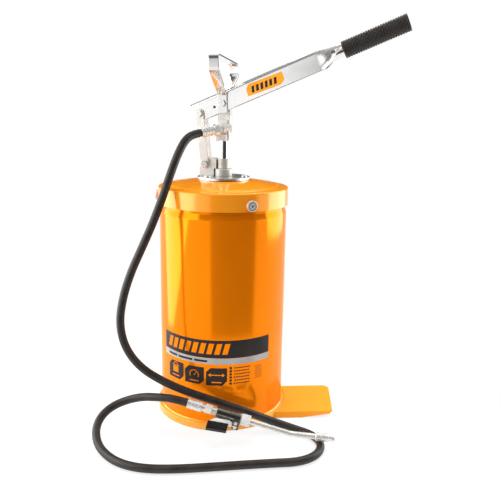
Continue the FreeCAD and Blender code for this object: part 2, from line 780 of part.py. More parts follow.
def lever_neck():
    """The pressed transition from the channel to the round tube."""
    half = lever_width / 2
    middle = (lever_above - lever_below) / 2
    depth = (lever_above + lever_below) / 2

    def rounded_rectangle(reach, wide, deep, corner, centre):
        face = Part.makePlane(2 * wide, 2 * deep, Vec(-wide, -deep, 0))
        solid = face.extrude(Vec(0, 0, 1))
        solid = rounded_vertical(solid, corner, lambda c: True)
        bottom = [f for f in solid.Faces if abs(f.CenterOfMass.z) < 1e-6][0]
        wire = bottom.OuterWire
        return placed_section(wire, reach, centre)

    def placed_section(wire, reach, centre):
        # the section's own X becomes Y and its own Y becomes the lever's upward direction
        matrix = FreeCAD.Matrix(0, 0, 1, reach, 1, 0, 0, 0, 0, 1, 0, centre, 0, 0, 0, 1)
        return wire.transformGeometry(matrix)

    def round_section(reach, radius, centre):
        return placed_section(Part.Wire(Part.makeCircle(radius)), reach, centre)

    start = rounded_rectangle(lever_channel_end, half, depth, lever_corner, middle)
    length = neck_end - lever_channel_end
    mid_wide = (half + lever_tube_radius) / 2
    mid_deep = (depth + lever_tube_radius) / 2
    waist = rounded_rectangle(lever_channel_end + length / 2, mid_wide, mid_deep, mid_wide * 0.8,
                              (middle + lever_axis_offset) / 2)
    end = round_section(neck_end, lever_tube_radius, lever_axis_offset)
    neck = Part.makeLoft([start, waist, end], True, False)
    neck.rotate(Vec(0, 0, 0), Vec(0, 1, 0), -lever_angle)
    neck.translate(pivot)
    return neck


def on_lever(shape, reach):
    """Place a shape built about +Z on the axis of the lever's tube."""
    direction = (lever_point(1, 0) - lever_point(0, 0)).normalize()
    return along(shape, lever_point(reach, lever_axis_offset), direction)


def lever_tube():
    length = grip_end - grip_end_wall - neck_end
    return on_lever(ring(lever_tube_radius, lever_tube_radius - lever_tube_wall, 0, length), neck_end)


def hand_grip():
    length = grip_end - grip_start
    sleeve = cylinder(grip_radius, 0, length)
    end_rim = [e for e in sleeve.Edges if abs(e.CenterOfMass.z - length) < 0.01]
    sleeve = sleeve.makeFillet(grip_end_wall * 0.8, end_rim)
    sleeve = sleeve.cut(cylinder(lever_tube_radius, 0, length - grip_end_wall))
    return on_lever(sleeve, grip_start)


def pivot_bolt():
    return cross_bolt(0, pivot_height, ear_outer)


def pivot_nut():
    return cross_nut(0, pivot_height, ear_outer)


def upper_link_bolt():
    place = upper_bolt_place()
    return cross_bolt(place.x, place.z, bar_outer + side_gap)


def upper_link_nut():
    place = upper_bolt_place()
    return cross_nut(place.x, place.z, bar_outer + side_gap)


def link_spacer():
    place = upper_bolt_place()
    half = lever_width / 2 - lever_sheet - side_gap / 2
    return across(ring(spacer_radius, bolt_radius, -half, half), place.x, place.z)


# ---- link ----------------------------------------------------------------------------------------
def link_bar(side):
    """One flat bar with round ends, side -1 on the head side of the bolts and +1 on the nut side."""
    top = upper_bolt_place()
    bottom = Vec(lower_bolt_place[0], 0, lower_bolt_place[1])
    low = bar_inner if side > 0 else -bar_outer
    ends = [across(cylinder(link_width / 2, low, low + link_thickness), p.x, p.z) for p in (top, bottom)]
    ahead = (top - bottom).normalize()
    square = Vec(ahead.z, 0, -ahead.x) * (link_width / 2)
    corners = [bottom + square, top + square, top - square, bottom - square]
    corners = [Vec(c.x, low, c.z) for c in corners]
    bar = Part.Face(polygon_wire(corners)).extrude(Vec(0, link_thickness, 0))
    bar = fused([bar] + ends)
    upper_hole = cylinder(bolt_radius + bolt_clearance, low - 1, low + link_thickness + 1)
    bar = bar.cut(across(upper_hole, top.x, top.z))
    return bar.cut(across(cylinder(bolt_radius, low - 1, low + link_thickness + 1), bottom.x, bottom.z))


def lower_link_bolt():
    return cross_bolt(lower_bolt_place[0], lower_bolt_place[1], bar_outer)


def lower_link_nut():
    return cross_nut(lower_bolt_place[0], lower_bolt_place[1], bar_outer)


# ---- carry handle --------------------------------------------------------------------------------
def carry_handle():
    """A flat strap bent into a loop across the lever, with an ear each side on the pivot bolt."""
    ear = bar_inner + handle_sheet / 2
    route = []
    handle_route = [(0, handle_roots[0]), handle_far_knee, handle_far_top, handle_near_top, handle_near_knee,
                    (0, handle_roots[1])]
    for index, (y, z) in enumerate(handle_route):
        at_end = index in (0, len(handle_route) - 1)
        side = 1 if index < len(handle_route) / 2 else -1
        route.append(Vec(0, side * ear if at_end else y + side * ear, z))
    route = [Vec(0, ear, handle_foot)] + route + [Vec(0, -ear, handle_foot)]
    path = rounded_corner_wire(route, handle_bend_radius)
    half = handle_width / 2
    start = path.Vertexes[0].Point
    section = polygon_wire([start + Vec(-half, -handle_sheet / 2, 0), start + Vec(half, -handle_sheet / 2, 0),
                            start + Vec(half, handle_sheet / 2, 0), start + Vec(-half, handle_sheet / 2, 0)])
    strap = path.makePipeShell([section], True, False, 2)
    for side in (-1, 1):
        eye = Part.makeCylinder(bolt_radius + bolt_clearance, 3 * handle_sheet,
                                Vec(0, side * ear - 1.5 * handle_sheet, 0), Vec(0, 1, 0))
        strap = strap.cut(eye)
    strap.rotate(Vec(0, 0, 0), Vec(0, 1, 0), handle_lean)
    strap.translate(pivot)
    return strap


# ---- delivery hose -------------------------------------------------------------------------------
def hose_points():
    exit_distance = outlet_boss_reach + adapter_length + hose_nut_length + ferrule_length
    start = outlet_base + outlet_direction * exit_distance
    first = start + outlet_direction * hose_lead_out
    last = gun_origin - gun_direction * hose_lead_in
    return [start, first] + [Vec(*p) for p in hose_route] + [last, gun_origin]


def hose_path(points):
    """Straight runs joined by tangent arcs, each arc as large as its two runs allow."""
    edges = []
    at = points[0]
    length = 0.0
    radii = []
    for before, corner, after in zip(points, points[1:], points[2:]):
        back, ahead = before - corner, after - corner
        reach = 0.45 * min(back.Length, ahead.Length)
        back.normalize()
        ahead.normalize()
        half_turn = (math.pi - back.getAngle(ahead)) / 2
        radius = reach / math.tan(half_turn)
        start, end = corner + back * reach, corner + ahead * reach
        toward = (back + ahead).normalize()
        middle = corner + toward * (radius / math.cos(half_turn) - radius)
        edges.append(Part.LineSegment(at, start).toShape())
        edges.append(Part.Arc(start, middle, end).toShape())
        length += (start - at).Length + radius * 2 * half_turn
        radii.append(radius)
        at = end
    edges.append(Part.LineSegment(at, points[-1]).toShape())
    length += (points[-1] - at).Length
    return Part.Wire(edges), length, radii


def delivery_hose():
    points = hose_points()
    path, length, radii = hose_path(points)
    heading = (points[1] - points[0]).normalize()
    outer = Part.Wire(Part.makeCircle(hose_radius, points[0], heading))
    hose = path.makePipeShell([outer], True, False)
    section = math.pi * hose_radius ** 2
    print("hose length", round(length, 1), "volume ratio", round(hose.Volume / (section * length), 5))
    print("hose bend radii", [round(r) for r in radii])
    return hose


# ---- control valve -------------------------------------------------------------------------------
gun_origin = Vec(*gun_start)
gun_corner = Vec(*gun_bend)
gun_direction = (gun_corner - gun_origin).normalize()
tip_direction = (Vec(*gun_tip) - gun_corner).normalize()
side_hint = Vec(*trigger_side)
trigger_out = (side_hint - gun_direction * side_hint.dot(gun_direction)).normalize()
trigger_axis = gun_direction.cross(trigger_out)
swivel_start = ferrule_length + gun_neck_length
valve_start = swivel_start + swivel_length
tube_nut_start = valve_start + valve_length
tube_nut_end = tube_nut_start + tube_nut_length


def on_gun(shape, distance):
    return along(shape, gun_origin + gun_direction * distance, gun_direction)


def gun_ferrule():
    sleeve = ferrule()
    neck = ring(swivel_flats / 2 - 1, outlet_bore, ferrule_length, swivel_start)
    return on_gun(sleeve.fuse(neck).removeSplitter(), 0)


def gun_swivel():
    """The hexagon adapter between the ferrule and the valve body, with a plain round neck."""
    hex_part = hex_nut(swivel_flats, outlet_bore, 0, swivel_length * 0.6)
    neck = ring(swivel_flats / 2 - 1, outlet_bore, swivel_length * 0.6, swivel_length)
    return on_gun(hex_part.fuse(neck).removeSplitter(), swivel_start)


def gun_frame(along_axis, out, side=0.0):
    """A place beside the valve: distance along it, distance out towards the trigger, and sideways."""
    return gun_origin + gun_direction * along_axis + trigger_out * out + trigger_axis * side


def valve_body():
    """The round valve body, with two ears for the trigger's pin and a hole for the stem."""
    body = cylinder(valve_radius, valve_start, tube_nut_start)
    rims = [e for e in body.Edges if e.Closed and abs(e.CenterOfMass.x) < 0.01]
    body = on_gun(body.makeChamfer(1.5, rims), 0)
    ears = []
    gap = trigger_width / 2 + side_gap
    for side in (-1, 1):
        near = gap * side
        far = (gap + trigger_sheet) * side
        low, high = trigger_hinge - trigger_ear_reach, trigger_hinge + trigger_ear_reach
        rim = trigger_hinge_offset + trigger_ear_margin
        corners = [gun_frame(low, 0, near), gun_frame(high, 0, near),
                   gun_frame(high, rim, near), gun_frame(low, rim, near)]
        ears.append(Part.Face(polygon_wire(corners)).extrude(trigger_axis * (far - near)))
    body = fused([body] + ears)
    pin_hole = Part.makeCylinder(trigger_pin_radius, 4 * trigger_width,
                                 gun_frame(trigger_hinge, trigger_hinge_offset, -2 * trigger_width),
                                 trigger_axis)
    stem_hole = Part.makeCylinder(stem_radius + running_gap, 2 * valve_radius,
                                  gun_frame(stem_place, outlet_bore), trigger_out)
    passage = on_gun(cylinder(outlet_bore, valve_start, tube_nut_start), 0)
    return body.cut(pin_hole).cut(stem_hole).cut(passage)


def trigger_rise(distance):
    """How far the trigger's sheet stands out from the valve's axis at a distance along it."""
    share = (trigger_hinge - distance) / (trigger_hinge - trigger_end)
    return trigger_hinge_offset + (trigger_end_offset - trigger_hinge_offset) * share


def trigger_slab(start, end, inner, outer, half_width):
    corners = [gun_frame(start, trigger_rise(start) + inner, -half_width),
               gun_frame(end, trigger_rise(end) + inner, -half_width),
               gun_frame(end, trigger_rise(end) + outer, -half_width),
               gun_frame(start, trigger_rise(start) + outer, -half_width)]
    return Part.Face(polygon_wire(corners)).extrude(trigger_axis * (2 * half_width))


def trigger_lever():
    half = trigger_sheet / 2
    sheet = trigger_slab(trigger_hinge, trigger_grip_end + trigger_grip_wall, -half, half, trigger_width / 2)
    hub = Part.makeCylinder(trigger_pin_radius + trigger_hub_wall, trigger_width,
                            gun_frame(trigger_hinge, trigger_hinge_offset, -trigger_width / 2), trigger_axis)
    bore = Part.makeCylinder(trigger_pin_radius + bolt_clearance, 2 * trigger_width,
                             gun_frame(trigger_hinge, trigger_hinge_offset, -trigger_width), trigger_axis)
    return fused([sheet, hub]).cut(bore)


def trigger_grip():
    """The rubber pad on the outer face of the trigger, wrapped round its edges."""
    half = trigger_sheet / 2
    inner_depth = trigger_grip_depth * trigger_grip_inner_share
    sleeve = trigger_slab(trigger_grip_start, trigger_grip_end, -inner_depth,
                          trigger_grip_depth - inner_depth, trigger_grip_width / 2)
    long_edges = [e for e in sleeve.Edges if e.Length > (trigger_grip_start - trigger_grip_end) * 0.95]
    sleeve = sleeve.makeFillet(trigger_grip_round, long_edges)
    pocket = trigger_slab(trigger_grip_start + 1, trigger_grip_end + trigger_grip_wall, -half, half,
                          trigger_width / 2)
    return sleeve.cut(pocket)


def trigger_pin():
    half = trigger_width / 2 + side_gap + trigger_sheet
    pin = Part.makeCylinder(trigger_pin_radius, 2 * half,
                            gun_frame(trigger_hinge, trigger_hinge_offset, -half), trigger_axis)
    caps = [Part.makeCylinder(trigger_pin_radius + trigger_pin_lip, trigger_pin_head,
                              gun_frame(trigger_hinge, trigger_hinge_offset, side), trigger_axis)
            for side in (half, -half - trigger_pin_head)]
    return fused([pin] + caps)


def valve_stem():
    """The push pin that the trigger presses into the valve body."""
    foot = outlet_bore + stem_foot_gap
    top = trigger_rise(stem_place) - trigger_sheet / 2 - stem_gap
    return Part.makeCylinder(stem_radius, top - foot, gun_frame(stem_place, foot), trigger_out)


def tube_nut():
    nut = hex_nut(tube_nut_flats, spray_tube_radius, 0, tube_nut_length)
    return on_gun(nut, tube_nut_start)


def extension_tube():
    """The rigid outlet tube, bent once towards the floor's level."""
    start = gun_origin + gun_direction * tube_nut_start
    end = Vec(*gun_tip) - tip_direction * coupler_length
    path = rounded_corner_wire([start, gun_corner, end], spray_tube_bend)
    outer = Part.Wire(Part.makeCircle(spray_tube_radius, start, gun_direction))
    inner = Part.Wire(Part.makeCircle(spray_tube_bore, start, gun_direction))
    tube = path.makePipeShell([outer], True, False)
    return tube.cut(path.makePipeShell([inner], True, False))


def on_tip(shape, distance):
    """Place a shape built about +Z on the coupler's axis, distance back from its mouth."""
    return along(shape, Vec(*gun_tip) - tip_direction * distance, tip_direction)


def coupler_body():
    length = coupler_length - coupler_nose
    body = cylinder(coupler_radius, 0, length)
    rims = [e for e in body.Edges if e.Closed]
    body = body.makeChamfer(1.2, rims)
    body = body.cut(ring(coupler_radius + 1, coupler_radius - 0.9, length * 0.3, length * 0.42))
    return on_tip(body.cut(cylinder(spray_tube_bore, -1, length + 1)), coupler_length)


def coupler_jaws():
    """The split nose that snaps over a grease nipple, in four segments round one bore."""
    nose = cylinder(coupler_nose_radius, 0, coupler_nose)
    rims = [e for e in nose.Edges if abs(e.CenterOfMass.z - coupler_nose) < 0.01]
    nose = nose.makeChamfer(1.5, rims)
    nose = nose.cut(cylinder(nipple_bore, coupler_nose - nipple_depth, coupler_nose + 1))
    slot = block((-coupler_radius, -jaw_slot_width / 2, coupler_nose - nipple_depth * 0.6),
                 (coupler_radius, jaw_slot_width / 2, coupler_nose + 1))
    cross = slot.copy()
    cross.rotate(Vec(0, 0, 0), Vec(0, 0, 1), 90)
    return on_tip(nose.cut(slot).cut(cross), coupler_nose)


nodes = {
    "base_plate": base_plate, "base_ring": base_ring, "foot_plate": foot_plate, "drum_shell": drum_shell,
    "lid": lid, "lid_bosses": lid_bosses, "lid_screws": lid_screws, "lid_nuts": lid_nuts,
    "lid_gasket": lid_gasket, "flange_gasket": flange_gasket, "pump_flange": pump_flange,
    "flange_screws": flange_screws, "gland_collar": gland_collar, "gland_packing": gland_packing,
    "gland_nut": gland_nut, "fulcrum_lug": fulcrum_lug, "pump_cylinder": pump_cylinder,
    "foot_valve_seat": foot_valve_seat, "foot_valve_ball": foot_valve_ball, "strainer": strainer,
    "follower_plate": follower_plate, "follower_wiper": follower_wiper, "plunger_tube": plunger_tube,
    "piston": piston, "piston_seal": piston_seal, "piston_ball": piston_ball, "pump_head": pump_head,
    "pivot_bush": pivot_bush, "outlet_adapter": outlet_adapter, "outlet_nut": outlet_nut,
    "head_ferrule": head_ferrule, "pivot_bolt": pivot_bolt, "pivot_nut": pivot_nut,
    "lever_channel": lever_channel, "lever_neck": lever_neck, "lever_tube": lever_tube,
    "hand_grip": hand_grip, "upper_link_bolt": upper_link_bolt, "upper_link_nut": upper_link_nut,
    "link_spacer": link_spacer,
    "link_bar_front": lambda: link_bar(-1), "link_bar_rear": lambda: link_bar(1),
    "lower_link_bolt": lower_link_bolt, "lower_link_nut": lower_link_nut, "carry_handle": carry_handle,
    "delivery_hose": delivery_hose, "gun_ferrule": gun_ferrule, "gun_swivel": gun_swivel,
    "valve_body": valve_body, "trigger_lever": trigger_lever, "trigger_grip": trigger_grip,
    "trigger_pin": trigger_pin, "valve_stem": valve_stem, "tube_nut": tube_nut,
    "extension_tube": extension_tube, "coupler_body": coupler_body, "coupler_jaws": coupler_jaws,
}

os.makedirs("parts", exist_ok=True)
for name, make in nodes.items():
    shape = make()
    if not shape.isValid() or not shape.Solids or shape.Volume <= 0:
        print("CHECK", name, shape.ShapeType, shape.isValid(), len(shape.Solids), shape.Volume)
    shape.exportStep("parts/" + name + ".step")
print(len(nodes), "sub-parts written")
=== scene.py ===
import json
import math

import bmesh
import bpy
from mathutils import Matrix, Vector


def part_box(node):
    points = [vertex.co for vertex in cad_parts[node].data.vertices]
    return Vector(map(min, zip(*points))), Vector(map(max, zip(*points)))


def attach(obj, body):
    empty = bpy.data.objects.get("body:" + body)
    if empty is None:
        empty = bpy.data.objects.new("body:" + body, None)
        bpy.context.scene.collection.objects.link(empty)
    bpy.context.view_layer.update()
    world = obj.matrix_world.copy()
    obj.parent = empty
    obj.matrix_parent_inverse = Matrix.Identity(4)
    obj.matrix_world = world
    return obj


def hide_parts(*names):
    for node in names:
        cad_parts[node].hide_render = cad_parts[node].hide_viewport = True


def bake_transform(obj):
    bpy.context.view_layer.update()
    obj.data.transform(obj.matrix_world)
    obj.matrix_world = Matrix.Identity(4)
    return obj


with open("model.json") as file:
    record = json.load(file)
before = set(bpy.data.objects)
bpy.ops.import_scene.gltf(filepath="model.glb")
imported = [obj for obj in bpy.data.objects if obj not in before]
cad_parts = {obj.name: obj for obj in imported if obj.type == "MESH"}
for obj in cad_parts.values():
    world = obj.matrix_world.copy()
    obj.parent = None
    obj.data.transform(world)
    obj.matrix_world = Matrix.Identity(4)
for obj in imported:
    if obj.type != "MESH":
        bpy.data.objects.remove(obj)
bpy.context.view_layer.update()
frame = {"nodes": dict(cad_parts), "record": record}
cadNodes = frame["nodes"]
scene = bpy.context.scene
bodyOf = {node: body for body, members in frame["record"]["behaviour"]["bodies"].items() for node in members}
slotOf = {part["node"]: part["material_slot"] for part in frame["record"]["subparts"]}
mm = 0.001
fullTurn = 2 * math.pi


def inMetres(sizes):
    return {name: value * mm for name, value in sizes.items()}


def addObject(name, data):
    made = bpy.data.objects.new(name, data)
    scene.collection.objects.link(made)
    return made


def standing(setup):
    # a camera or a lamp at its place, turned to its aim and rolled by some degrees
    place = Vector(setup["place"])
    turn = (Vector(setup["aim"]) - place).to_track_quat("-Z", "Y").to_matrix().to_4x4()
    roll = Matrix.Rotation(math.radians(setup.get("roll", 0)), 4, "Z")
    return Matrix.Translation(place) @ turn @ roll


# camera: place and aim in metres, lens in millimetres, roll in degrees
cameraSetup = {"place": (0.3379, -1.1785, 0.594), "aim": (0.0636, -0.041, 0.328), "lens": 46.8,
               "roll": 1.01}


def makeCamera(setup):
    data = bpy.data.cameras.new("viewCamera")
    data.lens = setup["lens"]
    camera = addObject("viewCamera", data)
    camera.matrix_world = standing(setup)
    scene.camera = camera


makeCamera(cameraSetup)
print("camera placed")


# nodes: an input is given as another node's output or as a plain value
def feed(tree, node, inputs):
    for key, value in inputs.items():
        if isinstance(value, bpy.types.NodeSocket):
            tree.links.new(value, node.inputs[key])
        else:
            node.inputs[key].default_value = value


def addNode(tree, kind, inputs=None, **settings):
    node = tree.nodes.new(kind)
    for name, value in settings.items():
        setattr(node, name, value)
    feed(tree, node, inputs or {})
    return node


def scalar(tree, operation, first, second=0):
    return addNode(tree, "ShaderNodeMath", {0: first, 1: second}, operation=operation).outputs[0]


def ramp(tree, source, limits=(0, 1), results=(0, 1), interpolation="SMOOTHSTEP"):
    # source between the limits gives an output between the results
    inputs = {"Value": source, "From Min": limits[0], "From Max": limits[1],
              "To Min": results[0], "To Max": results[1]}
    return addNode(tree, "ShaderNodeMapRange", inputs, interpolation_type=interpolation).outputs["Result"]


# finishes: linear colours, scales per metre of the object's own coordinates
noisePattern = {"patchDetail": 4, "grainDetail": 3, "noiseRoughness": 0.55,
                "toneLimits": (0.35, 0.65), "glossLimits": (0.3, 0.7)}
plainLook = {"stretch": (1, 1, 1), "metallic": 0, "specular": 0.5, "tint": (1, 1, 1)}
kinds = {
    "paint": {"patchScale": 9, "grainScale": 240, "bump": 0.02, "bumpDepth": 0.0004},
    "steel": {"patchScale": 22, "grainScale": 500, "bump": 0.01, "bumpDepth": 0.0001, "metallic": 1},
    "zinc": {"patchScale": 60, "grainScale": 700, "bump": 0.03, "bumpDepth": 0.0002, "metallic": 0.45},
    "darkMetal": {"patchScale": 90, "grainScale": 900, "bump": 0.05, "bumpDepth": 0.0003, "metallic": 1},
    "rubber": {"patchScale": 50, "grainScale": 1500, "bump": 0.12, "bumpDepth": 0.0003},
    "label": {"patchScale": 30, "grainScale": 500, "bump": 0.03, "bumpDepth": 0.0003,
              "roughness": (0.28, 0.34)}}
looks = {
    "pailPaint": {"kind": "paint", "colour": (0.96, 0.236, 0.003), "second": (0.94, 0.222, 0.002),
                  "roughness": (0.1, 0.15), "metallic": 0.42, "specular": 0.4, "tint": (1, 0.6, 0.06)},
    # the lid's paint is the pail's orange made paler: painted light standing in for the light falling on the
    # lid's top
    "lidPaintWithPaintedLight": {"kind": "paint", "colour": (0.95, 0.315, 0.012), "second": (0.93, 0.297, 0.01),
                 "roughness": (0.13, 0.19), "metallic": 0.16, "specular": 0.85, "tint": (1, 0.9, 0.74)},
    # the base ring's paint is the pail's orange made paler and yellower: painted light standing in for the
    # light on the ring
    "ringPaintWithPaintedLight": {"kind": "paint", "colour": (0.95, 0.4, 0.04), "second": (0.93, 0.38, 0.034),
                  "patchScale": 12, "roughness": (0.15, 0.22), "metallic": 0.12, "specular": 0.7,
                  "tint": (1, 0.9, 0.74)},
    # the foot plate's paint is the pail's orange made paler: painted light for the light on its upward face
    "footPaintWithPaintedLight": {"kind": "paint", "colour": (0.93, 0.345, 0.024), "second": (0.91, 0.325, 0.02),
                  "patchScale": 16, "grainScale": 300, "roughness": (0.32, 0.42), "bump": 0.05,
                  "bumpDepth": 0.0005, "specular": 0.3, "tint": (1, 0.72, 0.35)},
    "chrome": {"kind": "steel", "colour": (0.86, 0.855, 0.84), "second": (0.78, 0.775, 0.76),
               "patchScale": 40, "grainScale": 600, "roughness": (0.07, 0.15)},
    "leverSteel": {"kind": "steel", "colour": (0.91, 0.905, 0.89), "second": (0.84, 0.835, 0.82),
                   "roughness": (0.11, 0.19), "metallic": 0.86, "stretch": (0.4, 1, 1)},
    "neckSteel": {"kind": "steel", "colour": (0.8, 0.79, 0.77), "second": (0.74, 0.73, 0.71),
                  "roughness": (0.25, 0.33), "metallic": 0.8, "stretch": (0.4, 1, 1)},
    "zincSteel": {"kind": "zinc", "colour": (0.8, 0.79, 0.76), "second": (0.73, 0.72, 0.69),
                  "patchScale": 40, "grainScale": 500, "roughness": (0.26, 0.36), "bump": 0.02,
                  "metallic": 1},
    "fastenerZinc": {"kind": "zinc", "colour": (0.8, 0.79, 0.755), "second": (0.68, 0.67, 0.635),
                     "patchScale": 160, "grainScale": 900, "roughness": (0.2, 0.3), "bump": 0.02,
                     "bumpDepth": 0.0001, "metallic": 0.6},
    "mattZinc": {"kind": "zinc", "colour": (0.6, 0.585, 0.545), "second": (0.53, 0.515, 0.475),
                 "patchScale": 90, "roughness": (0.44, 0.52)},
    "brightZinc": {"kind": "zinc", "colour": (0.78, 0.77, 0.735), "second": (0.71, 0.7, 0.665),
                   "roughness": (0.34, 0.44)},
    "tubeZinc": {"kind": "zinc", "colour": (0.8, 0.79, 0.755), "second": (0.72, 0.71, 0.675),
                 "roughness": (0.22, 0.3), "bump": 0.02, "metallic": 0.6},
    "castSteel": {"kind": "zinc", "colour": (0.72, 0.7, 0.66), "second": (0.64, 0.62, 0.58),
                  "roughness": (0.34, 0.46), "bump": 0.16, "bumpDepth": 0.0005},
    "gunmetal": {"kind": "darkMetal", "colour": (0.31, 0.295, 0.265), "second": (0.22, 0.21, 0.19),
                 "roughness": (0.22, 0.32)},
    "darkSteel": {"kind": "darkMetal", "colour": (0.3, 0.295, 0.28), "second": (0.2, 0.195, 0.185),
                  "roughness": (0.24, 0.38)},
    "bronze": {"kind": "darkMetal", "colour": (0.62, 0.4, 0.18), "second": (0.5, 0.3, 0.13),
               "patchScale": 80, "roughness": (0.28, 0.4)},
    "rubber": {"kind": "rubber", "colour": (0.018, 0.0145, 0.0125), "second": (0.028, 0.0235, 0.02),
               "roughness": (0.36, 0.5), "specular": 0.4},
    # the grip's ribs get a paler copy of the sleeve's rubber: a painted highlight on the ribs against the
    # darker grooves
    "gripRubberPaintedHighlight": {"kind": "rubber", "colour": (0.026, 0.0215, 0.0185), "second": (0.034, 0.029, 0.0255),
                   "roughness": (0.46, 0.6), "specular": 0.28},
    "padRubber": {"kind": "rubber", "colour": (0.01, 0.0092, 0.0085), "second": (0.015, 0.0138, 0.0125),
                  "patchScale": 70, "roughness": (0.46, 0.58), "bump": 0.1, "specular": 0.12},
    "labelBlack": {"kind": "label", "colour": (0.016, 0.013, 0.012), "second": (0.024, 0.02, 0.018),
                   "roughness": (0.3, 0.36), "specular": 0.22},
    "labelGrey": {"kind": "label", "colour": (0.4, 0.395, 0.385), "second": (0.33, 0.325, 0.315)},
    "labelOrange": {"kind": "label", "colour": (0.96, 0.37, 0.02), "second": (0.93, 0.35, 0.016),
                    "specular": 0.3}}
finishOfSlot = {
    # the foot plate's slot takes the paler orange, with painted light on its upward face
    "pail_paint": "pailPaint", "foot_paint": "footPaintWithPaintedLight", "zinc_fastener": "fastenerZinc",
    "zinc_steel": "zincSteel", "dark_steel": "darkSteel", "chrome_steel": "chrome", "cast_head": "castSteel",
    "bronze": "bronze", "handle_steel": "chrome", "black_rubber": "rubber"}
# nodes whose finish isn't their slot's
finishOfNode = {
    "lever_channel": "leverSteel", "valve_body": "gunmetal", "trigger_grip": "padRubber",
    **dict.fromkeys(("lid_screws", "gland_collar", "gland_nut"), "mattZinc"),
    **dict.fromkeys(("link_bar_front", "link_bar_rear", "fulcrum_lug", "trigger_lever", "outlet_adapter"),
                    "brightZinc"),
    **dict.fromkeys(("extension_tube", "coupler_body", "coupler_jaws", "outlet_nut", "head_ferrule",
                     "gun_ferrule", "gun_swivel", "tube_nut"), "tubeZinc")}


def finish(name, look):
    # soft patches of two tones and two roughnesses, and a fine grain as bump
    material = bpy.data.materials.new(name)
    material.use_nodes = True
    tree = material.node_tree
    where = addNode(tree, "ShaderNodeTexCoord").outputs["Object"]
    drawn = addNode(tree, "ShaderNodeMapping", {"Vector": where, "Scale": look["stretch"]}).outputs["Vector"]

    def noise(scale, detail):
        inputs = {"Vector": drawn, "Scale": scale, "Detail": detail,
                  "Roughness": noisePattern["noiseRoughness"]}
        return addNode(tree, "ShaderNodeTexNoise", inputs).outputs["Fac"]

    patches = noise(look["patchScale"], noisePattern["patchDetail"])
    grain = noise(look["grainScale"], noisePattern["grainDetail"])
    share = ramp(tree, patches, noisePattern["toneLimits"], interpolation="LINEAR")
    tone = addNode(tree, "ShaderNodeMix", {"Factor": share, "A": (*look["colour"], 1),
                                           "B": (*look["second"], 1)}, data_type="RGBA")
    bump = addNode(tree, "ShaderNodeBump", {"Strength": look["bump"], "Distance": look["bumpDepth"],
                                            "Height": grain})
    feed(tree, tree.nodes["Principled BSDF"], {
        "Base Color": tone.outputs["Result"], "Normal": bump.outputs["Normal"],
        "Roughness": ramp(tree, patches, noisePattern["glossLimits"], look["roughness"], "LINEAR"),
        "Metallic": look["metallic"], "Specular IOR Level": look["specular"],
        "Specular Tint": (*look["tint"], 1)})
    return material


finishes = {name: finish(name, {**plainLook, **kinds[look["kind"]], **look}) for name, look in looks.items()}
print("finishes made:", len(finishes))


def finishFor(node):
    return finishOfNode.get(node, finishOfSlot[slotOf[node]])


# pieces: each stands for or lies on a CAD node, and takes a finish and, unless it is left free, its body
softening = {"angle": 32, "mergeWithin": 2e-6, "flatWithin": 0.4, "segments": 2, "weight": 100}
poleRadius = 1e-7  # metres: a corner nearer to the axis is a pole


def addPiece(name, mesh, finishName, node, replaced=True, rides=True):
    mesh.materials.clear()
    mesh.materials.append(finishes[finishName])
    piece = addObject(name, mesh)
    if replaced:
        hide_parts(node)
    if rides:
        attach(piece, bodyOf[node])
    return piece


def smoothed(mesh, sharpAngle=softening["angle"]):
    mesh.polygons.foreach_set("use_smooth", [True] * len(mesh.polygons))
    mesh.set_sharp_from_angle(angle=math.radians(sharpAngle))
    return mesh


def meshFrom(name, work, sharpAngle=softening["angle"]):
    bmesh.ops.recalc_face_normals(work, faces=work.faces)
    mesh = bpy.data.meshes.new(name)
    work.to_mesh(mesh)
    work.free()
    return smoothed(mesh, sharpAngle)


def evaluatedMesh(holder):
    # the plain mesh that a helper's curve or modifiers give; the helper goes
    graph = bpy.context.evaluated_depsgraph_get()
    mesh = bpy.data.meshes.new_from_object(holder.evaluated_get(graph))
    bpy.data.objects.remove(holder)
    return mesh


def softened(node, bevel, segments=softening["segments"]):
    # the CAD solid with its edges broken by bevel millimetres
    mesh = cadNodes[node].data.copy()
    work = bmesh.new()
    work.from_mesh(mesh)
    bmesh.ops.remove_doubles(work, verts=work.verts, dist=softening["mergeWithin"])
    bmesh.ops.dissolve_limit(work, angle_limit=math.radians(softening["flatWithin"]), verts=work.verts,
                             edges=work.edges)
    work.to_mesh(mesh)
    work.free()
    mesh.materials.clear()
    holder = addObject("holder", smoothed(mesh))
    edge = holder.modifiers.new("edge", "BEVEL")
    edge.width = bevel * mm
    edge.segments = segments
    edge.limit_method = "ANGLE"
    edge.angle_limit = math.radians(softening["angle"])
    flat = holder.modifiers.new("flat", "WEIGHTED_NORMAL")
    flat.weight = softening["weight"]
    flat.keep_sharp = True
    return addPiece(node + "Soft", evaluatedMesh(holder), finishFor(node), node)


def roundedOutline(corners, steps=5):
    # corners are (radius, height, fillet); each fillet becomes a short curve
    outline = []
    for index, (radius, height, fillet) in enumerate(corners):
        here = Vector((radius, height))
        if not fillet:
            outline.append(here)
            continue
        before = Vector(corners[index - 1][:2]) - here
        after = Vector(corners[(index + 1) % len(corners)][:2]) - here
        halfTurn = (math.pi - before.angle(after)) / 2
        reach = fillet * math.tan(halfTurn)
        start, end = here + before.normalized() * reach, here + after.normalized() * reach
        for step in range(steps + 1):
            t = step / steps
            outline.append(start * (1 - t) ** 2 + here * 2 * t * (1 - t) + end * t ** 2)
    return outline


def turnsRound(count):
    return [fullTurn * k / count for k in range(count)]


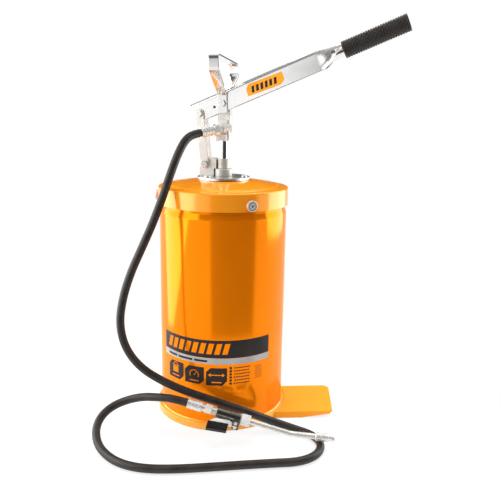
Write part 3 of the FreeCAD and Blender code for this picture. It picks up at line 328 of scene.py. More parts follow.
def turnedMesh(name, corners, segments):
    # a closed outline in metres turned about Z
    work = bmesh.new()
    rings = []
    for radius, height in roundedOutline(corners):
        turns = turnsRound(1 if radius < poleRadius else segments)
        rings.append([work.verts.new((radius * math.cos(turn), radius * math.sin(turn), height))
                      for turn in turns])
    for first, second in zip(rings, rings[1:] + rings[:1]):
        for k in range(segments):
            corner = [first[k % len(first)], first[(k + 1) % len(first)],
                      second[(k + 1) % len(second)], second[k % len(second)]]
            corner = list(dict.fromkeys(corner))
            if len(corner) > 2:
                work.faces.new(corner)
    return meshFrom(name, work)


def joinRings(work, first, second):
    # a band of faces between two rings of as many points
    for k in range(len(first)):
        nextK = (k + 1) % len(first)
        work.faces.new([first[k], first[nextK], second[nextK], second[k]])


def alongAxis(mesh, start, direction):
    turn = Vector(direction).to_track_quat("Z", "X").to_matrix().to_4x4()
    mesh.transform(Matrix.Translation(start) @ turn)
    return mesh


# delivery hose: metres and degrees, with the ferrule's edge and the route in millimetres
hoseShape = {"radius": 0.00725, "sides": 28, "sharpAngle": 50, "resolution": 10, "ferruleEdge": 0.25,
             "outlet": (0.0019, -0.014, 0.5455), "outletAzimuth": 229, "outletDrop": 8,
             "exitReach": 0.048, "leadOut": 0.018, "leadIn": 0.028,
             "gunStart": (-0.015, -0.167, 0.071), "gunBend": (0.168, -0.145, 0.026),
             "blendEnd": (-0.106, -0.145, 0.342)}
hoseRoute = [
    (-50, -78, 525), (-58, -93, 501), (-66, -106, 470), (-76, -119, 430), (-89, -132, 387),
    (-106, -145, 342), (-124, -156, 297), (-136, -165, 252), (-140, -172, 208), (-130, -173, 165),
    (-104, -169, 129), (-65, -160, 103), (-19, -149, 82), (31, -135, 64), (80, -120, 45), (124, -100, 22),
    (166, -92, 8), (202, -104, 7.5), (223, -134, 7.5), (220, -172, 7.5), (194, -201, 7.5), (153, -216, 7.5),
    (105, -235, 7.5), (54, -256, 7.5), (3, -276, 7.5), (-45, -289, 7.5), (-87, -287, 7.5), (-122, -271, 8),
    (-149, -252, 15), (-165, -228, 28), (-167, -203, 41), (-155, -180, 52), (-131, -168, 62),
    (-102, -166, 71), (-72, -170, 76)]


def azimuthVector(azimuth, drop=0):
    level = math.cos(math.radians(drop))
    return Vector((math.cos(math.radians(azimuth)) * level, math.sin(math.radians(azimuth)) * level,
                   -math.sin(math.radians(drop))))


def hoseEnds(shape):
    away = azimuthVector(shape["outletAzimuth"], shape["outletDrop"])
    exitPoint = Vector(shape["outlet"]) + away * shape["exitReach"]
    gunStart = Vector(shape["gunStart"])
    gunAxis = (Vector(shape["gunBend"]) - gunStart).normalized()
    first, last = exitPoint + away * shape["leadOut"], gunStart - gunAxis * shape["leadIn"]
    return exitPoint, first, last, gunStart, gunAxis


def routePoints(points, resolution):
    curve = bpy.data.curves.new("hoseRoute", "CURVE")
    curve.dimensions = "3D"
    spline = curve.splines.new("NURBS")
    spline.points.add(len(points) - 1)
    for point, place in zip(spline.points, points):
        point.co = (*place, 1)
    spline.order_u = 3
    spline.use_endpoint_u = True
    spline.resolution_u = resolution
    line = evaluatedMesh(addObject("hoseRoute", curve))
    path = [vertex.co.copy() for vertex in line.vertices]
    bpy.data.meshes.remove(line)
    return path


def tubeMesh(name, path, shape):
    # rings square to the path, carried along it without twist, with a UV of turn and length
    radius, sides = shape["radius"], shape["sides"]
    work = bmesh.new()
    layer = work.loops.layers.uv.new("alongTube")
    side = None
    rings, travelled, length = [], [], 0
    for index, place in enumerate(path):
        before, after = path[max(index - 1, 0)], path[min(index + 1, len(path) - 1)]
        heading = (after - before).normalized()
        if side is None:
            side = heading.orthogonal().normalized()
        else:
            side = (side - heading * side.dot(heading)).normalized()
            length += (place - path[index - 1]).length
        other = heading.cross(side)
        rings.append([work.verts.new(place + (side * math.cos(turn) + other * math.sin(turn)) * radius)
                      for turn in turnsRound(sides)])
        travelled.append(length)
    for index in range(len(rings) - 1):
        joinRings(work, rings[index], rings[index + 1])
    for index, face in enumerate(work.faces):
        row, k = divmod(index, sides)
        spots = [(k, row), (k + 1, row), (k + 1, row + 1), (k, row + 1)]
        for loop, (turn, ring) in zip(face.loops, spots):
            loop[layer].uv = (turn / sides, travelled[ring] / (fullTurn * radius))
    work.faces.new(list(reversed(rings[0])))
    work.faces.new(rings[-1])
    return meshFrom(name, work, shape["sharpAngle"]), length


hoseExit, hoseFirst, hoseLast, gunStart, gunAxis = hoseEnds(hoseShape)
hoseMiddle = [Vector([value * mm for value in point]) for point in hoseRoute]
hosePath = routePoints([hoseExit, hoseFirst, *hoseMiddle, hoseLast, gunStart], hoseShape["resolution"])
hoseMesh, hoseLength = tubeMesh("deliveryHose", hosePath, hoseShape)
hose = addPiece("deliveryHose", hoseMesh, "rubber", "delivery_hose", rides=False)
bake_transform(hose)
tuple(hoseExit)
gunFerrule = softened("gun_ferrule", hoseShape["ferruleEdge"])
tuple(hoseExit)
print("hose made, length", round(hoseLength, 4))


# pail: drum, lid and base ring are turned with soft folds, in millimetres
pailSegments = 192
drumShape = {"wall": 1.5, "shoulderLow": 392.9, "shoulderTop": 402.9, "neckInset": 3, "fold": 4,
             "rimRound": 0.6}
lidShape = {"wall": 1.5, "bore": 15.2, "crown": 50, "crownFold": 8, "stepAt": 105, "step": 1.7,
            "stepRun": 3, "stepFold": 1.6, "stepFootFold": 1.2, "skirt": 32, "fold": 4,
            "innerFold": 2.4, "hem": 3, "hemFlare": 0.5, "hemRound": 0.3}
ringShape = {"width": 2.5, "inset": 0.02, "top": 13, "innerTop": 6, "fold": 1.3, "footRound": 0.8,
             "innerRound": 0.4, "seam": 2.2, "seamRound": 0.6, "seamGap": 0.05}
footPlateShape = {"edge": 0.9, "segments": 3}
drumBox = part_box("drum_shell")
drumLow, drumTop, drumRadius = drumBox[0].z, drumBox[1].z, drumBox[1].x


def drumBody(size):
    wall, fold, rimRound = size["wall"], size["fold"], size["rimRound"]
    low, top = size["shoulderLow"], size["shoulderTop"]
    neck, inside = drumRadius - size["neckInset"], drumRadius - wall
    mesh = turnedMesh("drumBody", [
        (0, drumLow, 0), (drumRadius, drumLow, 0), (drumRadius, low, fold), (neck, top, fold),
        (neck, drumTop, rimRound), (neck - wall, drumTop, rimRound), (neck - wall, top, fold),
        (inside, low, fold), (inside, drumLow + wall, wall), (0, drumLow + wall, 0)], pailSegments)
    addPiece("drumBody", mesh, "pailPaint", "drum_shell")


def lidCover(size):
    # from the bore over the pressed step and the fold to the hemmed skirt, and back inside
    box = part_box("lid")
    low, top, radius = box[0].z, box[1].z, box[1].x
    rim, wall, fold = low + size["skirt"], size["wall"], size["fold"]
    slope = (top - rim) / (radius - fold - size["crown"])
    stepHeight = top - (size["stepAt"] - size["crown"]) * slope
    mesh = turnedMesh("lidCover", [
        (size["bore"], top, 0), (size["crown"], top, size["crownFold"]),
        (size["stepAt"] - size["stepRun"], stepHeight + size["step"], size["stepFold"]),
        (size["stepAt"], stepHeight - size["step"] / 2, size["stepFootFold"]), (radius, rim, fold),
        (radius, low + size["hem"], 0), (radius + size["hemFlare"], low, size["hemRound"]),
        (radius - wall, low, size["hemRound"]), (radius - wall, rim - wall, size["innerFold"]),
        (size["crown"], top - wall, 0), (size["bore"], top - wall, 0)], pailSegments)
    # the lid takes the paler orange, with painted light on its top
    addPiece("lidCover", mesh, "lidPaintWithPaintedLight", "lid")


def baseRing(size):
    # the rolled ring, with a weld seam climbing the drum
    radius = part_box("base_ring")[1].x - size["inset"]
    inside, against = radius - size["width"], drumRadius + size["seamGap"]
    top, seam = size["top"], size["seam"]
    mesh = turnedMesh("baseRing", [
        (inside, 0, size["innerRound"]), (radius, 0, size["footRound"]), (radius, top, size["fold"]),
        (drumRadius + seam, top, size["seamRound"]), (against, top + seam, 0), (against, size["innerTop"], 0),
        (inside, size["innerTop"], 0)], pailSegments)
    # the ring takes the paler orange, with painted light on it
    addPiece("baseRing", mesh, "ringPaintWithPaintedLight", "base_ring")


drumBody(inMetres(drumShape))
lidCover(inMetres(lidShape))
baseRing(inMetres(ringShape))
softened("foot_plate", footPlateShape["edge"], footPlateShape["segments"])
print("pail made")


# repeated details: one element placed in rows round an axis
def makePatternTree():
    tree = bpy.data.node_groups.new("rowsRoundAxis", "GeometryNodeTree")
    numbers = ("Row Spacing", "Angle Step", "Stagger", "Radius", "First Height", "First Angle")
    sockets = {"Geometry": "Geometry", "Element": "Object", "Rows": "Int", "Around": "Int",
               **dict.fromkeys(numbers, "Float"), "Material": "Material"}
    for name, kind in sockets.items():
        tree.interface.new_socket(name=name, in_out="INPUT", socket_type="NodeSocket" + kind)
    tree.interface.new_socket(name="Geometry", in_out="OUTPUT", socket_type="NodeSocketGeometry")
    given = addNode(tree, "NodeGroupInput").outputs
    # each point's row and column; every other row is shifted by the stagger
    index = addNode(tree, "GeometryNodeInputIndex").outputs[0]
    row = scalar(tree, "FLOOR", scalar(tree, "DIVIDE", scalar(tree, "ADD", index, 0.5), given["Around"]))
    column = scalar(tree, "SUBTRACT", index, scalar(tree, "MULTIPLY", row, given["Around"]))
    shift = scalar(tree, "MULTIPLY", given["Stagger"], scalar(tree, "FLOORED_MODULO", row, 2))
    turn = scalar(tree, "MULTIPLY", scalar(tree, "ADD", column, shift), given["Angle Step"])
    angle = scalar(tree, "ADD", turn, given["First Angle"])
    rise = scalar(tree, "MULTIPLY", row, given["Row Spacing"])
    place = addNode(tree, "ShaderNodeCombineXYZ", {
        0: scalar(tree, "MULTIPLY", scalar(tree, "COSINE", angle), given["Radius"]),
        1: scalar(tree, "MULTIPLY", scalar(tree, "SINE", angle), given["Radius"]),
        2: scalar(tree, "ADD", rise, given["First Height"])})
    line = addNode(tree, "GeometryNodeMeshLine", {
        "Count": scalar(tree, "MULTIPLY", given["Rows"], given["Around"])})
    placed = addNode(tree, "GeometryNodeSetPosition", {
        "Geometry": line.outputs[0], "Position": place.outputs[0]})
    facing = addNode(tree, "ShaderNodeCombineXYZ", {2: angle})
    rotation = addNode(tree, "FunctionNodeEulerToRotation", {0: facing.outputs[0]})
    element = addNode(tree, "GeometryNodeObjectInfo", {"Object": given["Element"]})
    copies = addNode(tree, "GeometryNodeInstanceOnPoints", {
        "Points": placed.outputs[0], "Instance": element.outputs["Geometry"],
        "Rotation": rotation.outputs[0]})
    real = addNode(tree, "GeometryNodeRealizeInstances", {0: copies.outputs[0]})
    coloured = addNode(tree, "GeometryNodeSetMaterial", {
        "Geometry": real.outputs[0], "Material": given["Material"]})
    addNode(tree, "NodeGroupOutput", {"Geometry": coloured.outputs[0]})
    return tree


patternTree = makePatternTree()
patternSharpAngle = 40


def patternMesh(name, elementMesh, finishName, sizes):
    # sizes goes by the tree's input names; what it leaves out is 0
    element = addObject("element", elementMesh)
    holder = addObject("pattern", bpy.data.meshes.new("pattern"))
    values = {"Element": element, "Material": finishes[finishName], **sizes}
    modifier = holder.modifiers.new("rows", "NODES")
    modifier.node_group = patternTree
    for item in patternTree.interface.items_tree:
        if item.in_out == "INPUT" and item.name in values:
            modifier[item.identifier] = values[item.name]
    mesh = evaluatedMesh(holder)
    mesh.name = name
    bpy.data.objects.remove(element)
    return smoothed(mesh, patternSharpAngle)


barSharpAngle = 60


def barMesh(depth, width, height, edgeRound):
    # depth along X, width along Y and height along Z, with the outer edges broken
    work = bmesh.new()
    bmesh.ops.create_cube(work, size=1)
    bmesh.ops.scale(work, verts=work.verts, vec=(depth, width, height))
    outer = [edge for edge in work.edges if any(vert.co.x > 0 for vert in edge.verts)]
    bmesh.ops.bevel(work, geom=outer, offset=edgeRound, segments=softening["segments"], affect="EDGES",
                    profile=0.5)
    return meshFrom("bar", work, barSharpAngle)


# lever, in millimetres and degrees: its own frame has u along it, y across it and v upwards
leverShape = {"angle": 22.8, "halfWidth": 10, "above": 20.7, "below": 13.7, "corner": 6,
              "tubeRise": 3.4, "tubeRadius": 11}
pivotPoint = Vector((0, 0, sum(corner.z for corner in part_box("pivot_bolt")) / 2))


def onLever(u, y, v):
    tilt = math.radians(leverShape["angle"])
    along = Vector((math.cos(tilt), 0, math.sin(tilt))) * u * mm
    upwards = Vector((-math.sin(tilt), 0, math.cos(tilt))) * v * mm
    return pivotPoint + along + upwards + Vector((0, y * mm, 0))


def smoothStep(value, low, high):
    t = min(max((value - low) / (high - low), 0), 1)
    return t * t * (3 - 2 * t)


# lever's neck: edgeDelay, bulgeLength and lipTurn are shares of its length
neckShape = {"start": 185.6, "end": 233, "rings": 44, "around": 81, "sheet": 2.2, "sharpAngle": 40,
             "collar": 1.3, "collarFrom": 14, "edgeDelay": 0.12, "bulge": 2.2, "bulgeLength": 0.7,
             "bulgeRise": (2, 12), "bulgeFall": (22, 34), "lip": 4, "lipTurn": (0.04, 0.4),
             "lipWidth": 9}


def channelSection(shape, count):
    # points along the channel's outside, from one lower edge over the top to the other
    half, corner = shape["halfWidth"], shape["corner"]
    wall = shape["above"] + shape["below"] - corner
    arc = corner * math.pi / 2
    total = 2 * (wall + arc + half - corner)
    points = []
    for index in range(count):
        distance = total * index / (count - 1)
        mirrored = distance > total / 2
        distance = total - distance if mirrored else distance
        if distance < wall:
            y, v = -half, -shape["below"] + distance
        elif distance < wall + arc:
            turn = (distance - wall) / corner
            y, v = -half + corner * (1 - math.cos(turn)), shape["above"] - corner * (1 - math.sin(turn))
        else:
            y, v = -half + corner + distance - wall - arc, shape["above"]
        points.append((-y if mirrored else y, v))
    return points


def collarSection(lever, neck):
    # as many points round the tube, open below
    radius, low = lever["tubeRadius"] + neck["collar"], math.radians(neck["collarFrom"])
    points = []
    for index in range(neck["around"]):
        turn = math.pi - low - (math.pi - 2 * low) * index / (neck["around"] - 1)
        points.append((math.cos(turn) * radius, lever["tubeRise"] + math.sin(turn) * radius))
    return points


def neckGrid(lever, neck):
    # the channel's end drawn in round the tube, its lower edges sweeping up in a curve
    count, rings = neck["around"], neck["rings"]
    channel, collar = channelSection(lever, count), collarSection(lever, neck)
    wallLength = lever["above"] + lever["below"] + lever["halfWidth"]
    grid = []
    for ring in range(rings):
        t = ring / (rings - 1)
        u = neck["start"] + (neck["end"] - neck["start"]) * t
        points = []
        for index in range(count):
            side = abs(2 * index / (count - 1) - 1)
            # the lower edges start to turn in later than the top
            share = smoothStep(t, neck["edgeDelay"] * side, 1)
            (y0, v0), (y1, v1) = channel[index], collar[index]
            y, v = y0 * (1 - share) + y1 * share, v0 * (1 - share) + v1 * share
            # the side swells ahead of the tube, and its lower edge stands out as a lip
            fromEdge = wallLength * (1 - side)
            swell = neck["bulge"] * math.sin(math.pi * min(t / neck["bulgeLength"], 1)) ** 2
            swell *= smoothStep(fromEdge, *neck["bulgeRise"]) * (1 - smoothStep(fromEdge, *neck["bulgeFall"]))
            lip = neck["lip"] * smoothStep(t, *neck["lipTurn"])
            lip *= 1 - smoothStep(fromEdge, 0, neck["lipWidth"])
            points.append(onLever(u, y + math.copysign(swell - lip, y), v))
        grid.append(points)
    return grid


def leverNeck(lever, neck):
    work = bmesh.new()
    grid = [[work.verts.new(point) for point in points] for points in neckGrid(lever, neck)]
    for first, second in zip(grid, grid[1:]):
        for index in range(neck["around"] - 1):
            work.faces.new([first[index], second[index], second[index + 1], first[index + 1]])
    mesh = bpy.data.meshes.new("leverNeck")
    work.to_mesh(mesh)
    work.free()
    holder = addObject("neckSheet", mesh)
    outward = mesh.polygons[len(mesh.polygons) // 2].normal.z > 0
    wall = holder.modifiers.new("wall", "SOLIDIFY")
    wall.thickness = neck["sheet"] * mm
    wall.offset = -1 if outward else 1
    wall.use_even_offset = False
    wall.use_flip_normals = not outward
    addPiece("leverNeck", smoothed(evaluatedMesh(holder), neck["sharpAngle"]), "neckSteel", "lever_neck")


# lever's tube, pinched flat in the channel: stations are (u, half width, half height)
tubeShape = {"sides": 48, "sharpAngle": 40, "between": 4,
             "stations": [(188, 6.6, 8), (189.5, 7.4, 9.4), (197, 7.6, 10.4), (206, 9.4, 11),
                          (214, 10.9, 11), (220, 11, 11), (349, 11, 11), (350, 10, 10)]}


def leverTube(lever, tube):
    stations, between = tube["stations"], tube["between"]
    fine = []
    for first, second in zip(stations, stations[1:]):
        for k in range(between):
            fine.append([a + (b - a) * k / between for a, b in zip(first, second)])
    fine.append(stations[-1])
    work = bmesh.new()
    rings = []
    for u, across, upright in fine:
        rings.append([work.verts.new(onLever(u, across * math.cos(turn),
                                             lever["tubeRise"] + upright * math.sin(turn)))
                      for turn in turnsRound(tube["sides"])])
    for first, second in zip(rings, rings[1:]):
        joinRings(work, first, second)
    work.faces.new(rings[0])
    work.faces.new(rings[-1])
    addPiece("leverTube", meshFrom("leverTube", work, tube["sharpAngle"]), "chrome", "lever_tube")


# hand grip in millimetres; its ribs in metres and shares of their pitch
gripShape = {"start": 234, "end": 351.15, "radius": 15.08, "body": 14.3, "rim": 3.2, "rimStep": 0.8,
             "boreGap": 0.15, "cap": 2, "boreRound": 0.4, "openRound": 1.2, "rimRound": 0.6,
             "bodyRound": 0.4, "endRound": 2.2}
gripSegments = 96
ribShape = {"rows": 25, "around": 12, "margin": 0.005, "first": 0.0025, "depth": 0.0022, "sink": 0.0012,
            "edgeRound": 0.0004, "widthShare": 0.72, "heightShare": 0.5, "stagger": 0.5}


def handGrip(lever, grip, ribs):
    size = inMetres(grip)
    length, rim, body, edge = size["end"] - size["start"], size["radius"], size["body"], size["rim"]
    bore, step, cap = lever["tubeRadius"] * mm + size["boreGap"], size["rimStep"], length - size["cap"]
    sleeve = turnedMesh("gripSleeve", [
        (bore, 0, size["boreRound"]), (rim, 0, size["openRound"]), (rim, edge, size["rimRound"]),
        (body, edge + step, size["bodyRound"]), (body, length - edge - step, size["bodyRound"]),
        (rim, length - edge, size["rimRound"]), (rim, length, size["endRound"]), (0, length, 0),
        (0, cap, 0), (bore, cap, 0)], gripSegments)
    start = onLever(grip["start"], 0, lever["tubeRise"])
    along = (onLever(1, 0, 0) - onLever(0, 0, 0)).normalized()
    addPiece("gripSleeve", alongAxis(sleeve, start, along), "rubber", "hand_grip")
    spacing = (length - 2 * edge - ribs["margin"]) / (ribs["rows"] - 1)
    width = fullTurn * body / ribs["around"] * ribs["widthShare"]
    rib = barMesh(ribs["depth"], width, spacing * ribs["heightShare"], ribs["edgeRound"])
    # the ribs take the paler rubber, a painted highlight against the sleeve's darker grooves
    mesh = patternMesh("gripRibs", rib, "gripRubberPaintedHighlight", {
        "Rows": ribs["rows"], "Around": ribs["around"], "Radius": rim - ribs["sink"],
        "Row Spacing": spacing, "Angle Step": fullTurn / ribs["around"], "Stagger": ribs["stagger"],
        "First Height": edge + ribs["first"]})
    addPiece("gripRibs", alongAxis(mesh, start, along), "gripRubberPaintedHighlight", "hand_grip", replaced=False)


leverNeck(leverShape, neckShape)
leverTube(leverShape, tubeShape)
handGrip(leverShape, gripShape, ribShape)
print("lever's neck, tube and grip made")


# labels: plates laid on the drum or the lever; thicknesses in metres
plateShape = {"thin": 0.00012, "thick": 0.0002, "cutStep": 2, "sharpAngle": 30, "cutWithin": 1e-6}


def plateMesh(name, outlines, place, rise, step=None):
    # place bends the flat plate, which a step first cuts into strips
    work = bmesh.new()
    for outline in outlines:
        low = [work.verts.new((x, y, 0)) for x, y in outline]
        high = [work.verts.new((x, y, rise)) for x, y in outline]
        work.faces.new(high)
        work.faces.new(list(reversed(low)))
        joinRings(work, low, high)
    if step:
        line = math.floor(min(vert.co.x for vert in work.verts) / step) * step + step
        while line < max(vert.co.x for vert in work.verts):
            everything = work.verts[:] + work.edges[:] + work.faces[:]
            bmesh.ops.bisect_plane(work, geom=everything, dist=plateShape["cutWithin"],
                                   plane_co=(line, 0, 0), plane_no=(1, 0, 0))
            line += step
    bmesh.ops.triangulate(work, faces=[face for face in work.faces if len(face.verts) > 4])
    for vert in work.verts:
        vert.co = place(*vert.co)
    return meshFrom(name, work, plateShape["sharpAngle"])


def onDrum(azimuth, height, rise):
    return azimuthVector(azimuth) * (drumRadius + rise) + Vector((0, 0, height * mm))


def onLeverSide(u, v, rise):
    return onLever(u, -leverShape["halfWidth"] - rise / mm, v)


def block(left, right, low, high, slant=0):
    return [(left, low), (right, low), (right + slant, high), (left + slant, high)]


def centred(middle, half, height):
    return block(middle - half, middle + half, *height)


def slantedBars(bars):
    # a row of leaning bars, each lower than the last by the fall
    marks = []
    for k in range(bars["count"]):
        left, (low, high), fall = bars["first"] + k * bars["pitch"], bars["height"], k * bars["fall"]
        marks.append(block(left, left + bars["width"], low - fall, high - fall, bars["slant"]))
    return marks


def ringPart(middle, ring, steps=24):
    # part of a ring as one outline, its millimetres turned into degrees round the drum
    squeeze = math.degrees(mm / drumRadius)
    (inner, outer), (start, end) = ring["radii"], ring["angles"]
    angles = [math.radians(start + (end - start) * k / steps) for k in range(steps + 1)]

    def arc(radius, turns):
        return [(middle + radius * math.cos(turn) * squeeze, ring["centre"] + radius * math.sin(turn))
                for turn in turns]

    return arc(outer, angles) + arc(inner, reversed(angles))


# drum labels: azimuths and half widths in degrees, heights and radii in millimetres
band = {"azimuth": (-136, -28), "height": (140.2, 174), "leftCorner": [(0.8, 0), (0, -1.6)],
        "rightCorner": [(0, -2.4), (-0.5, -0.7), (-1.4, 0)]}
bandBars = {"first": -130, "count": 9, "width": 4.6, "pitch": 7, "height": (147.5, 168), "fall": 0,
            "slant": 2.6}
stripe = {"azimuth": (-136, -28), "height": (128, 139.8)}
dashes = {"azimuths": [(-129.5, -118), (-116.2, -101), (-99.2, -87)], "height": (131.6, 135.6)}
badges = {"azimuths": [(-129.5, -110.4), (-108.7, -89.9), (-88.1, -69.5)], "height": (87, 121),
          "cut": (4.2, 8.6), "underlineHalf": 4.4, "underline": (92, 94.2)}
pailMark = {"half": 3.4, "height": (99.5, 110.5), "lidHalf": 4.2, "lid": (111.8, 113.4),
            "handle": {"centre": 113, "radii": (5, 6.3), "angles": (12, 168)}}
gaugeMark = {"dial": {"centre": 104.5, "radii": (8, 9.8), "angles": (-25, 205)},
             "needle": [(-0.5, 103.6), (0.5, 103.6), (2.7, 110.6), (2.3, 110.9)]}
hoseMark = {"half": 5.6, "height": (106.4, 108.2), "tip": (7.4, 107.3), "barbs": (5, 111, 103.6)}
# small print as rows of little bars: bars and their edges in metres
printEdge = 0.0001
smallPrint = {
    "drumLabelBullets": {"bar": (0.00044, 0.0044, 0.0042), "rows": 6, "pitch": 6, "lowest": 91,
                         "around": 1, "azimuth": -66.4, "step": 0, "stagger": 0},
    "drumLabelLines": {"bar": (0.0004, 0.0036, 0.0021), "rows": 6, "pitch": 6, "lowest": 91,
                       "around": 7, "azimuth": -63, "step": 2.15, "stagger": 0.3},
    "drumLabelColumn": {"bar": (0.0004, 0.003, 0.0012), "rows": 7, "pitch": 3.72, "lowest": 96,
                        "around": 4, "azimuth": -43, "step": 1.9, "stagger": 0.4}}


def drumPlate(name, outlines, finishName, thickness):
    mesh = plateMesh(name, outlines, onDrum, plateShape[thickness], plateShape["cutStep"])
    addPiece(name, mesh, finishName, "drum_shell", replaced=False)


def bandOutline():
    (left, right), (low, high) = band["azimuth"], band["height"]
    corners = [(right + x, high + y) for x, y in band["rightCorner"]]
    corners += [(left + x, high + y) for x, y in band["leftCorner"]]
    return [(left, low), (right, low), *corners]


def badgeOutline(left, right):
    (low, high), (cutX, cutY) = badges["height"], badges["cut"]
    return [(left, low), (right - cutX, low), (right, low + cutY), (right, high), (left + cutX, high),
            (left, high - cutY)]


def badgeMarks():
    # a full pail, a gauge and a length of hose, each with a line under it
    middles = [(left + right) / 2 for left, right in badges["azimuths"]]
    pail, gauge, middle = middles
    marks = [centred(pail, pailMark["half"], pailMark["height"]),
             centred(pail, pailMark["lidHalf"], pailMark["lid"]), ringPart(pail, pailMark["handle"]),
             ringPart(gauge, gaugeMark["dial"]), [(gauge + x, y) for x, y in gaugeMark["needle"]],
             centred(middle, hoseMark["half"], hoseMark["height"])]
    (tip, level), (barb, above, below) = hoseMark["tip"], hoseMark["barbs"]
    for side in (-1, 1):
        arrow = [(middle + side * tip, level), (middle + side * barb, above), (middle + side * barb, below)]
        marks.append(arrow[::side])
    return marks + [centred(each, badges["underlineHalf"], badges["underline"]) for each in middles]


def printRows(name, rows):
    bar = barMesh(*rows["bar"], printEdge)
    mesh = patternMesh(name, bar, "labelBlack", {
        "Rows": rows["rows"], "Around": rows["around"], "Radius": drumRadius,
        "Row Spacing": rows["pitch"] * mm, "Angle Step": math.radians(rows["step"]),
        "Stagger": rows["stagger"], "First Height": rows["lowest"] * mm,
        "First Angle": math.radians(rows["azimuth"])})
    addPiece(name, mesh, "labelBlack", "drum_shell", replaced=False)


def drumLabels():
    dark = [bandOutline()] + [badgeOutline(*azimuths) for azimuths in badges["azimuths"]]
    drumPlate("drumLabelDark", dark, "labelBlack", "thin")
    drumPlate("drumLabelGrey", [block(*stripe["azimuth"], *stripe["height"])], "labelGrey", "thin")
    drumPlate("drumLabelDashes", [block(*azimuths, *dashes["height"]) for azimuths in dashes["azimuths"]],
              "labelBlack", "thick")
    drumPlate("drumLabelMarks", slantedBars(bandBars) + badgeMarks(), "pailPaint", "thick")
    for name, rows in smallPrint.items():
        printRows(name, rows)


# lever label: millimetres along and above the pivot's line
leverOutline = [(50.5, 7.7), (49.8, 2), (49.3, -5.6), (50.2, -6.6), (110.8, -9.7), (112.6, -9.4),
                (120, -5.1), (121.6, -2.6), (121.9, 0), (121.9, 9.6), (120.9, 10.9), (58.8, 13.5),
                (57, 13.2)]
leverBars = {"first": 58, "count": 6, "width": 5.2, "pitch": 8.6, "height": (-3.4, 7.6), "fall": 0.28,
             "slant": 3.2}


def leverPlate(name, outlines, finishName, thickness):
    mesh = plateMesh(name, outlines, onLeverSide, plateShape[thickness])
    addPiece(name, mesh, finishName, "lever_channel", replaced=False)


drumLabels()
leverPlate("leverLabel", [leverOutline], "labelOrange", "thin")
leverPlate("leverLabelMarks", slantedBars(leverBars), "labelBlack", "thick")
print("labels made")


# trigger's side walls in millimetres; the outline is (along the gun, inward)
triggerShape = {"side": (0, -0.75, -0.66), "hinge": (92, 15.2), "end": (52, 20.5),
                "halfWidth": 6.4, "sheet": 1.3, "edge": 0.3, "sharpAngle": 50,
                "outline": [(49.5, 0.4), (87, 0.4), (87, 2.6), (82, 4.9), (78, 6.4), (56.5, 6.4),
                            (51.5, 4.4), (49.5, 2.6)]}


def triggerWalls(shape):
    out = Vector(shape["side"])
    out = (out - gunAxis * out.dot(gunAxis)).normalized()
    across = gunAxis.cross(out)
    (hingeAlong, hingeOut), (endAlong, endOut) = shape["hinge"], shape["end"]

    def place(along, inward, side):
        rise = hingeOut + (endOut - hingeOut) * (hingeAlong - along) / (hingeAlong - endAlong)
        return gunStart + (gunAxis * along + out * (rise - inward) + across * side) * mm

    work = bmesh.new()
    for sign in (-1, 1):
        near, far = sign * (shape["halfWidth"] - shape["sheet"]), sign * shape["halfWidth"]
        rings = [[work.verts.new(place(along, inward, side)) for along, inward in shape["outline"]]
                 for side in (near, far)]
        work.faces.new(rings[0])
        work.faces.new(rings[1])
        joinRings(work, *rings)
    bmesh.ops.bevel(work, geom=work.edges[:], offset=shape["edge"] * mm,
                    segments=softening["segments"], affect="EDGES", profile=0.5)
    mesh = meshFrom("triggerWalls", work, shape["sharpAngle"])
    addPiece("triggerWalls", mesh, "brightZinc", "trigger_lever", replaced=False)


triggerWalls(triggerShape)
print("trigger's side walls made")


# CAD solids that only get broken edges: node and bevel width in millimetres
brokenEdges = {
    "lid_bosses": 0.4, "lid_screws": 0.25, "pump_flange": 0.3, "flange_screws": 0.2, "gland_collar": 0.4,
    "gland_nut": 0.4, "fulcrum_lug": 0.6, "pump_head": 1, "outlet_adapter": 0.4, "outlet_nut": 0.5,
    "head_ferrule": 0.25, "pivot_bolt": 0.4, "pivot_nut": 0.4, "lever_channel": 0.45,
    "upper_link_bolt": 0.4, "upper_link_nut": 0.4, "link_bar_front": 0.5, "link_bar_rear": 0.5,
    "lower_link_bolt": 0.4, "lower_link_nut": 0.4, "carry_handle": 0.6, "gun_swivel": 0.4,
    "valve_body": 0.7, "tube_nut": 0.6, "coupler_body": 0.3, "coupler_jaws": 0.25, "trigger_lever": 0.4,
    "trigger_grip": 0.8, "trigger_pin": 0.25, "extension_tube": 0.2, "plunger_tube": 0.2}
for nodeName, width in brokenEdges.items():
    softened(nodeName, width)
for nodeName, node in cadNodes.items():
    if not node.hide_render:
        node.data.materials.clear()
        node.data.materials.append(finishes[finishFor(nodeName)])
print("solid pieces softened:", len(brokenEdges))


# studio: a small round floor, the room and four softboxes, one of which isn't mirrored
studio = {"floorRadius": 0.62, "floorSegments": 96, "floorDrop": 0.0003, "clearRadius": 0.36,
          "rimShare": 0.97, "floorTone": 0.88, "floorGlow": 0.74, "ambient": (0.48, 0.68), "roomLight": 1.05,
          "darkSide": {"azimuth": -55, "edges": (0.68, 0.8), "level": 0.05},
          "darkBack": {"azimuth": 106, "edges": (0.55, 0.92), "heights": (-0.06, 0.05), "level": 0.1},
          "darkRing": {"rise": (0.05, 0.18), "fall": (0.91, 0.97), "level": 0.13}}


def mixed(tree, share, first, second):
    return addNode(tree, "ShaderNodeMixShader", {"Fac": share, 1: first, 2: second}).outputs[0]


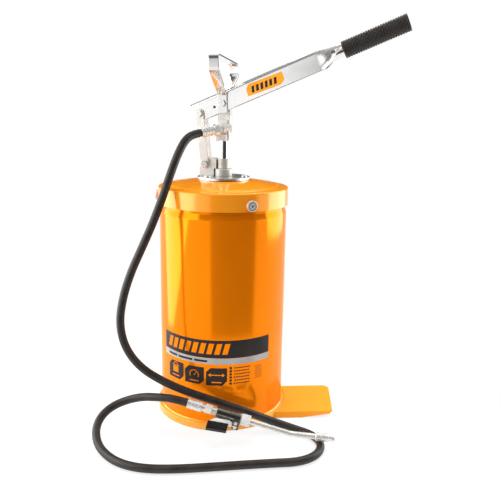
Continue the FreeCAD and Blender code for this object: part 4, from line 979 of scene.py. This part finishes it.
def makeFloor(setup):
    work = bmesh.new()
    bmesh.ops.create_circle(work, cap_ends=True, segments=setup["floorSegments"],
                            radius=setup["floorRadius"])
    bmesh.ops.translate(work, verts=work.verts, vec=(0, 0, -setup["floorDrop"]))
    mesh = bpy.data.meshes.new("studioFloor")
    work.to_mesh(mesh)
    work.free()
    material = bpy.data.materials.new("studioFloor")
    material.use_nodes = True
    tree = material.node_tree
    tree.nodes.clear()
    ray = addNode(tree, "ShaderNodeLightPath").outputs
    seen = scalar(tree, "MAXIMUM", ray["Is Camera Ray"], ray["Is Glossy Ray"])
    seen = scalar(tree, "MAXIMUM", seen, ray["Is Transmission Ray"])
    where = addNode(tree, "ShaderNodeTexCoord").outputs["Object"]
    distance = addNode(tree, "ShaderNodeVectorMath", {0: where}, operation="LENGTH").outputs["Value"]
    # the floor melts into the white room towards its rim, and keeps its shadow near the pail
    limits = (setup["clearRadius"], setup["floorRadius"] * setup["rimShare"])
    fade = ramp(tree, distance, limits, (setup["floorGlow"], 1))
    matt = addNode(tree, "ShaderNodeBsdfDiffuse", {"Color": (*[setup["floorTone"]] * 3, 1)}).outputs[0]
    glow = addNode(tree, "ShaderNodeEmission").outputs[0]
    surface = mixed(tree, scalar(tree, "MULTIPLY", seen, fade), matt, glow)
    addNode(tree, "ShaderNodeOutputMaterial", {"Surface": surface})
    mesh.materials.append(material)
    addObject("studioFloor", mesh)


def makeWorld(setup):
    world = bpy.data.worlds.new("studioWorld")
    world.use_nodes = True
    scene.world = world
    tree = world.node_tree
    tree.nodes.clear()
    ray = addNode(tree, "ShaderNodeLightPath").outputs
    heading = addNode(tree, "ShaderNodeTexCoord").outputs["Generated"]
    height = addNode(tree, "ShaderNodeSeparateXYZ", {0: heading}).outputs["Z"]

    def facing(azimuth):
        inputs = {0: heading, 1: azimuthVector(azimuth)}
        return addNode(tree, "ShaderNodeVectorMath", inputs, operation="DOT_PRODUCT").outputs["Value"]

    def background(colour):
        return addNode(tree, "ShaderNodeBackground", {"Color": colour}).outputs[0]

    side, ring, back = setup["darkSide"], setup["darkRing"], setup["darkBack"]
    # bright is 0 towards the dark side and 1 in the rest of the room
    bright = ramp(tree, facing(side["azimuth"]), side["edges"], (1, 0))
    sideLevel = ramp(tree, bright, results=(side["level"], setup["roomLight"]))
    # a dark ring above the horizon, with the floor below it and the white ceiling above
    ringLevel = scalar(tree, "MAXIMUM", ramp(tree, height, ring["rise"], (1, ring["level"])),
                       ramp(tree, height, ring["fall"], (ring["level"], 1)))
    # a dark wall behind the object, which gives metal its thin dark edges
    wall = scalar(tree, "MULTIPLY", ramp(tree, facing(back["azimuth"]), back["edges"]),
                  ramp(tree, height, back["heights"]))
    sideLevel = scalar(tree, "MULTIPLY", sideLevel, ramp(tree, wall, results=(1, back["level"])))
    mirrored = background(scalar(tree, "MULTIPLY", sideLevel, ringLevel))
    ambient = background(ramp(tree, bright, results=setup["ambient"]))
    lit = mixed(tree, ray["Is Glossy Ray"], ambient, mirrored)
    seen = scalar(tree, "MAXIMUM", ray["Is Camera Ray"], ray["Is Transmission Ray"])
    addNode(tree, "ShaderNodeOutputWorld", {"Surface": mixed(tree, seen, lit, background((1, 1, 1, 1)))})


# softboxes: metres, degrees and watts
softboxes = {
    "leftBox": {"place": (-1.02, -0.36, 0.7), "aim": (0, 0, 0.66), "size": (1.9, 1.35), "watts": 27,
                "roll": 28},
    "rightBox": {"place": (0.98, 0.62, 0.72), "aim": (0, 0, 0.68), "size": (1.1, 1.15), "watts": 14},
    "topBox": {"place": (0.1, 0, 2.2), "aim": (0, 0, 0.2), "size": (1.6, 1.6), "watts": 34,
               "mirrored": False},
    "backBox": {"place": (0.05, 0.78, 1.45), "aim": (0.05, -0.1, 0.05), "size": (0.9, 0.5), "watts": 5}}


def makeSoftbox(name, box):
    data = bpy.data.lights.new(name, "AREA")
    data.shape = "RECTANGLE"
    data.size, data.size_y = box["size"]
    data.energy = box["watts"]
    lamp = addObject(name, data)
    lamp.matrix_world = standing(box)
    lamp.visible_camera = False
    lamp.visible_glossy = box.get("mirrored", True)


makeFloor(studio)
makeWorld(studio)
for boxName, box in softboxes.items():
    makeSoftbox(boxName, box)
scene.view_settings.view_transform = "Standard"
print("studio made")
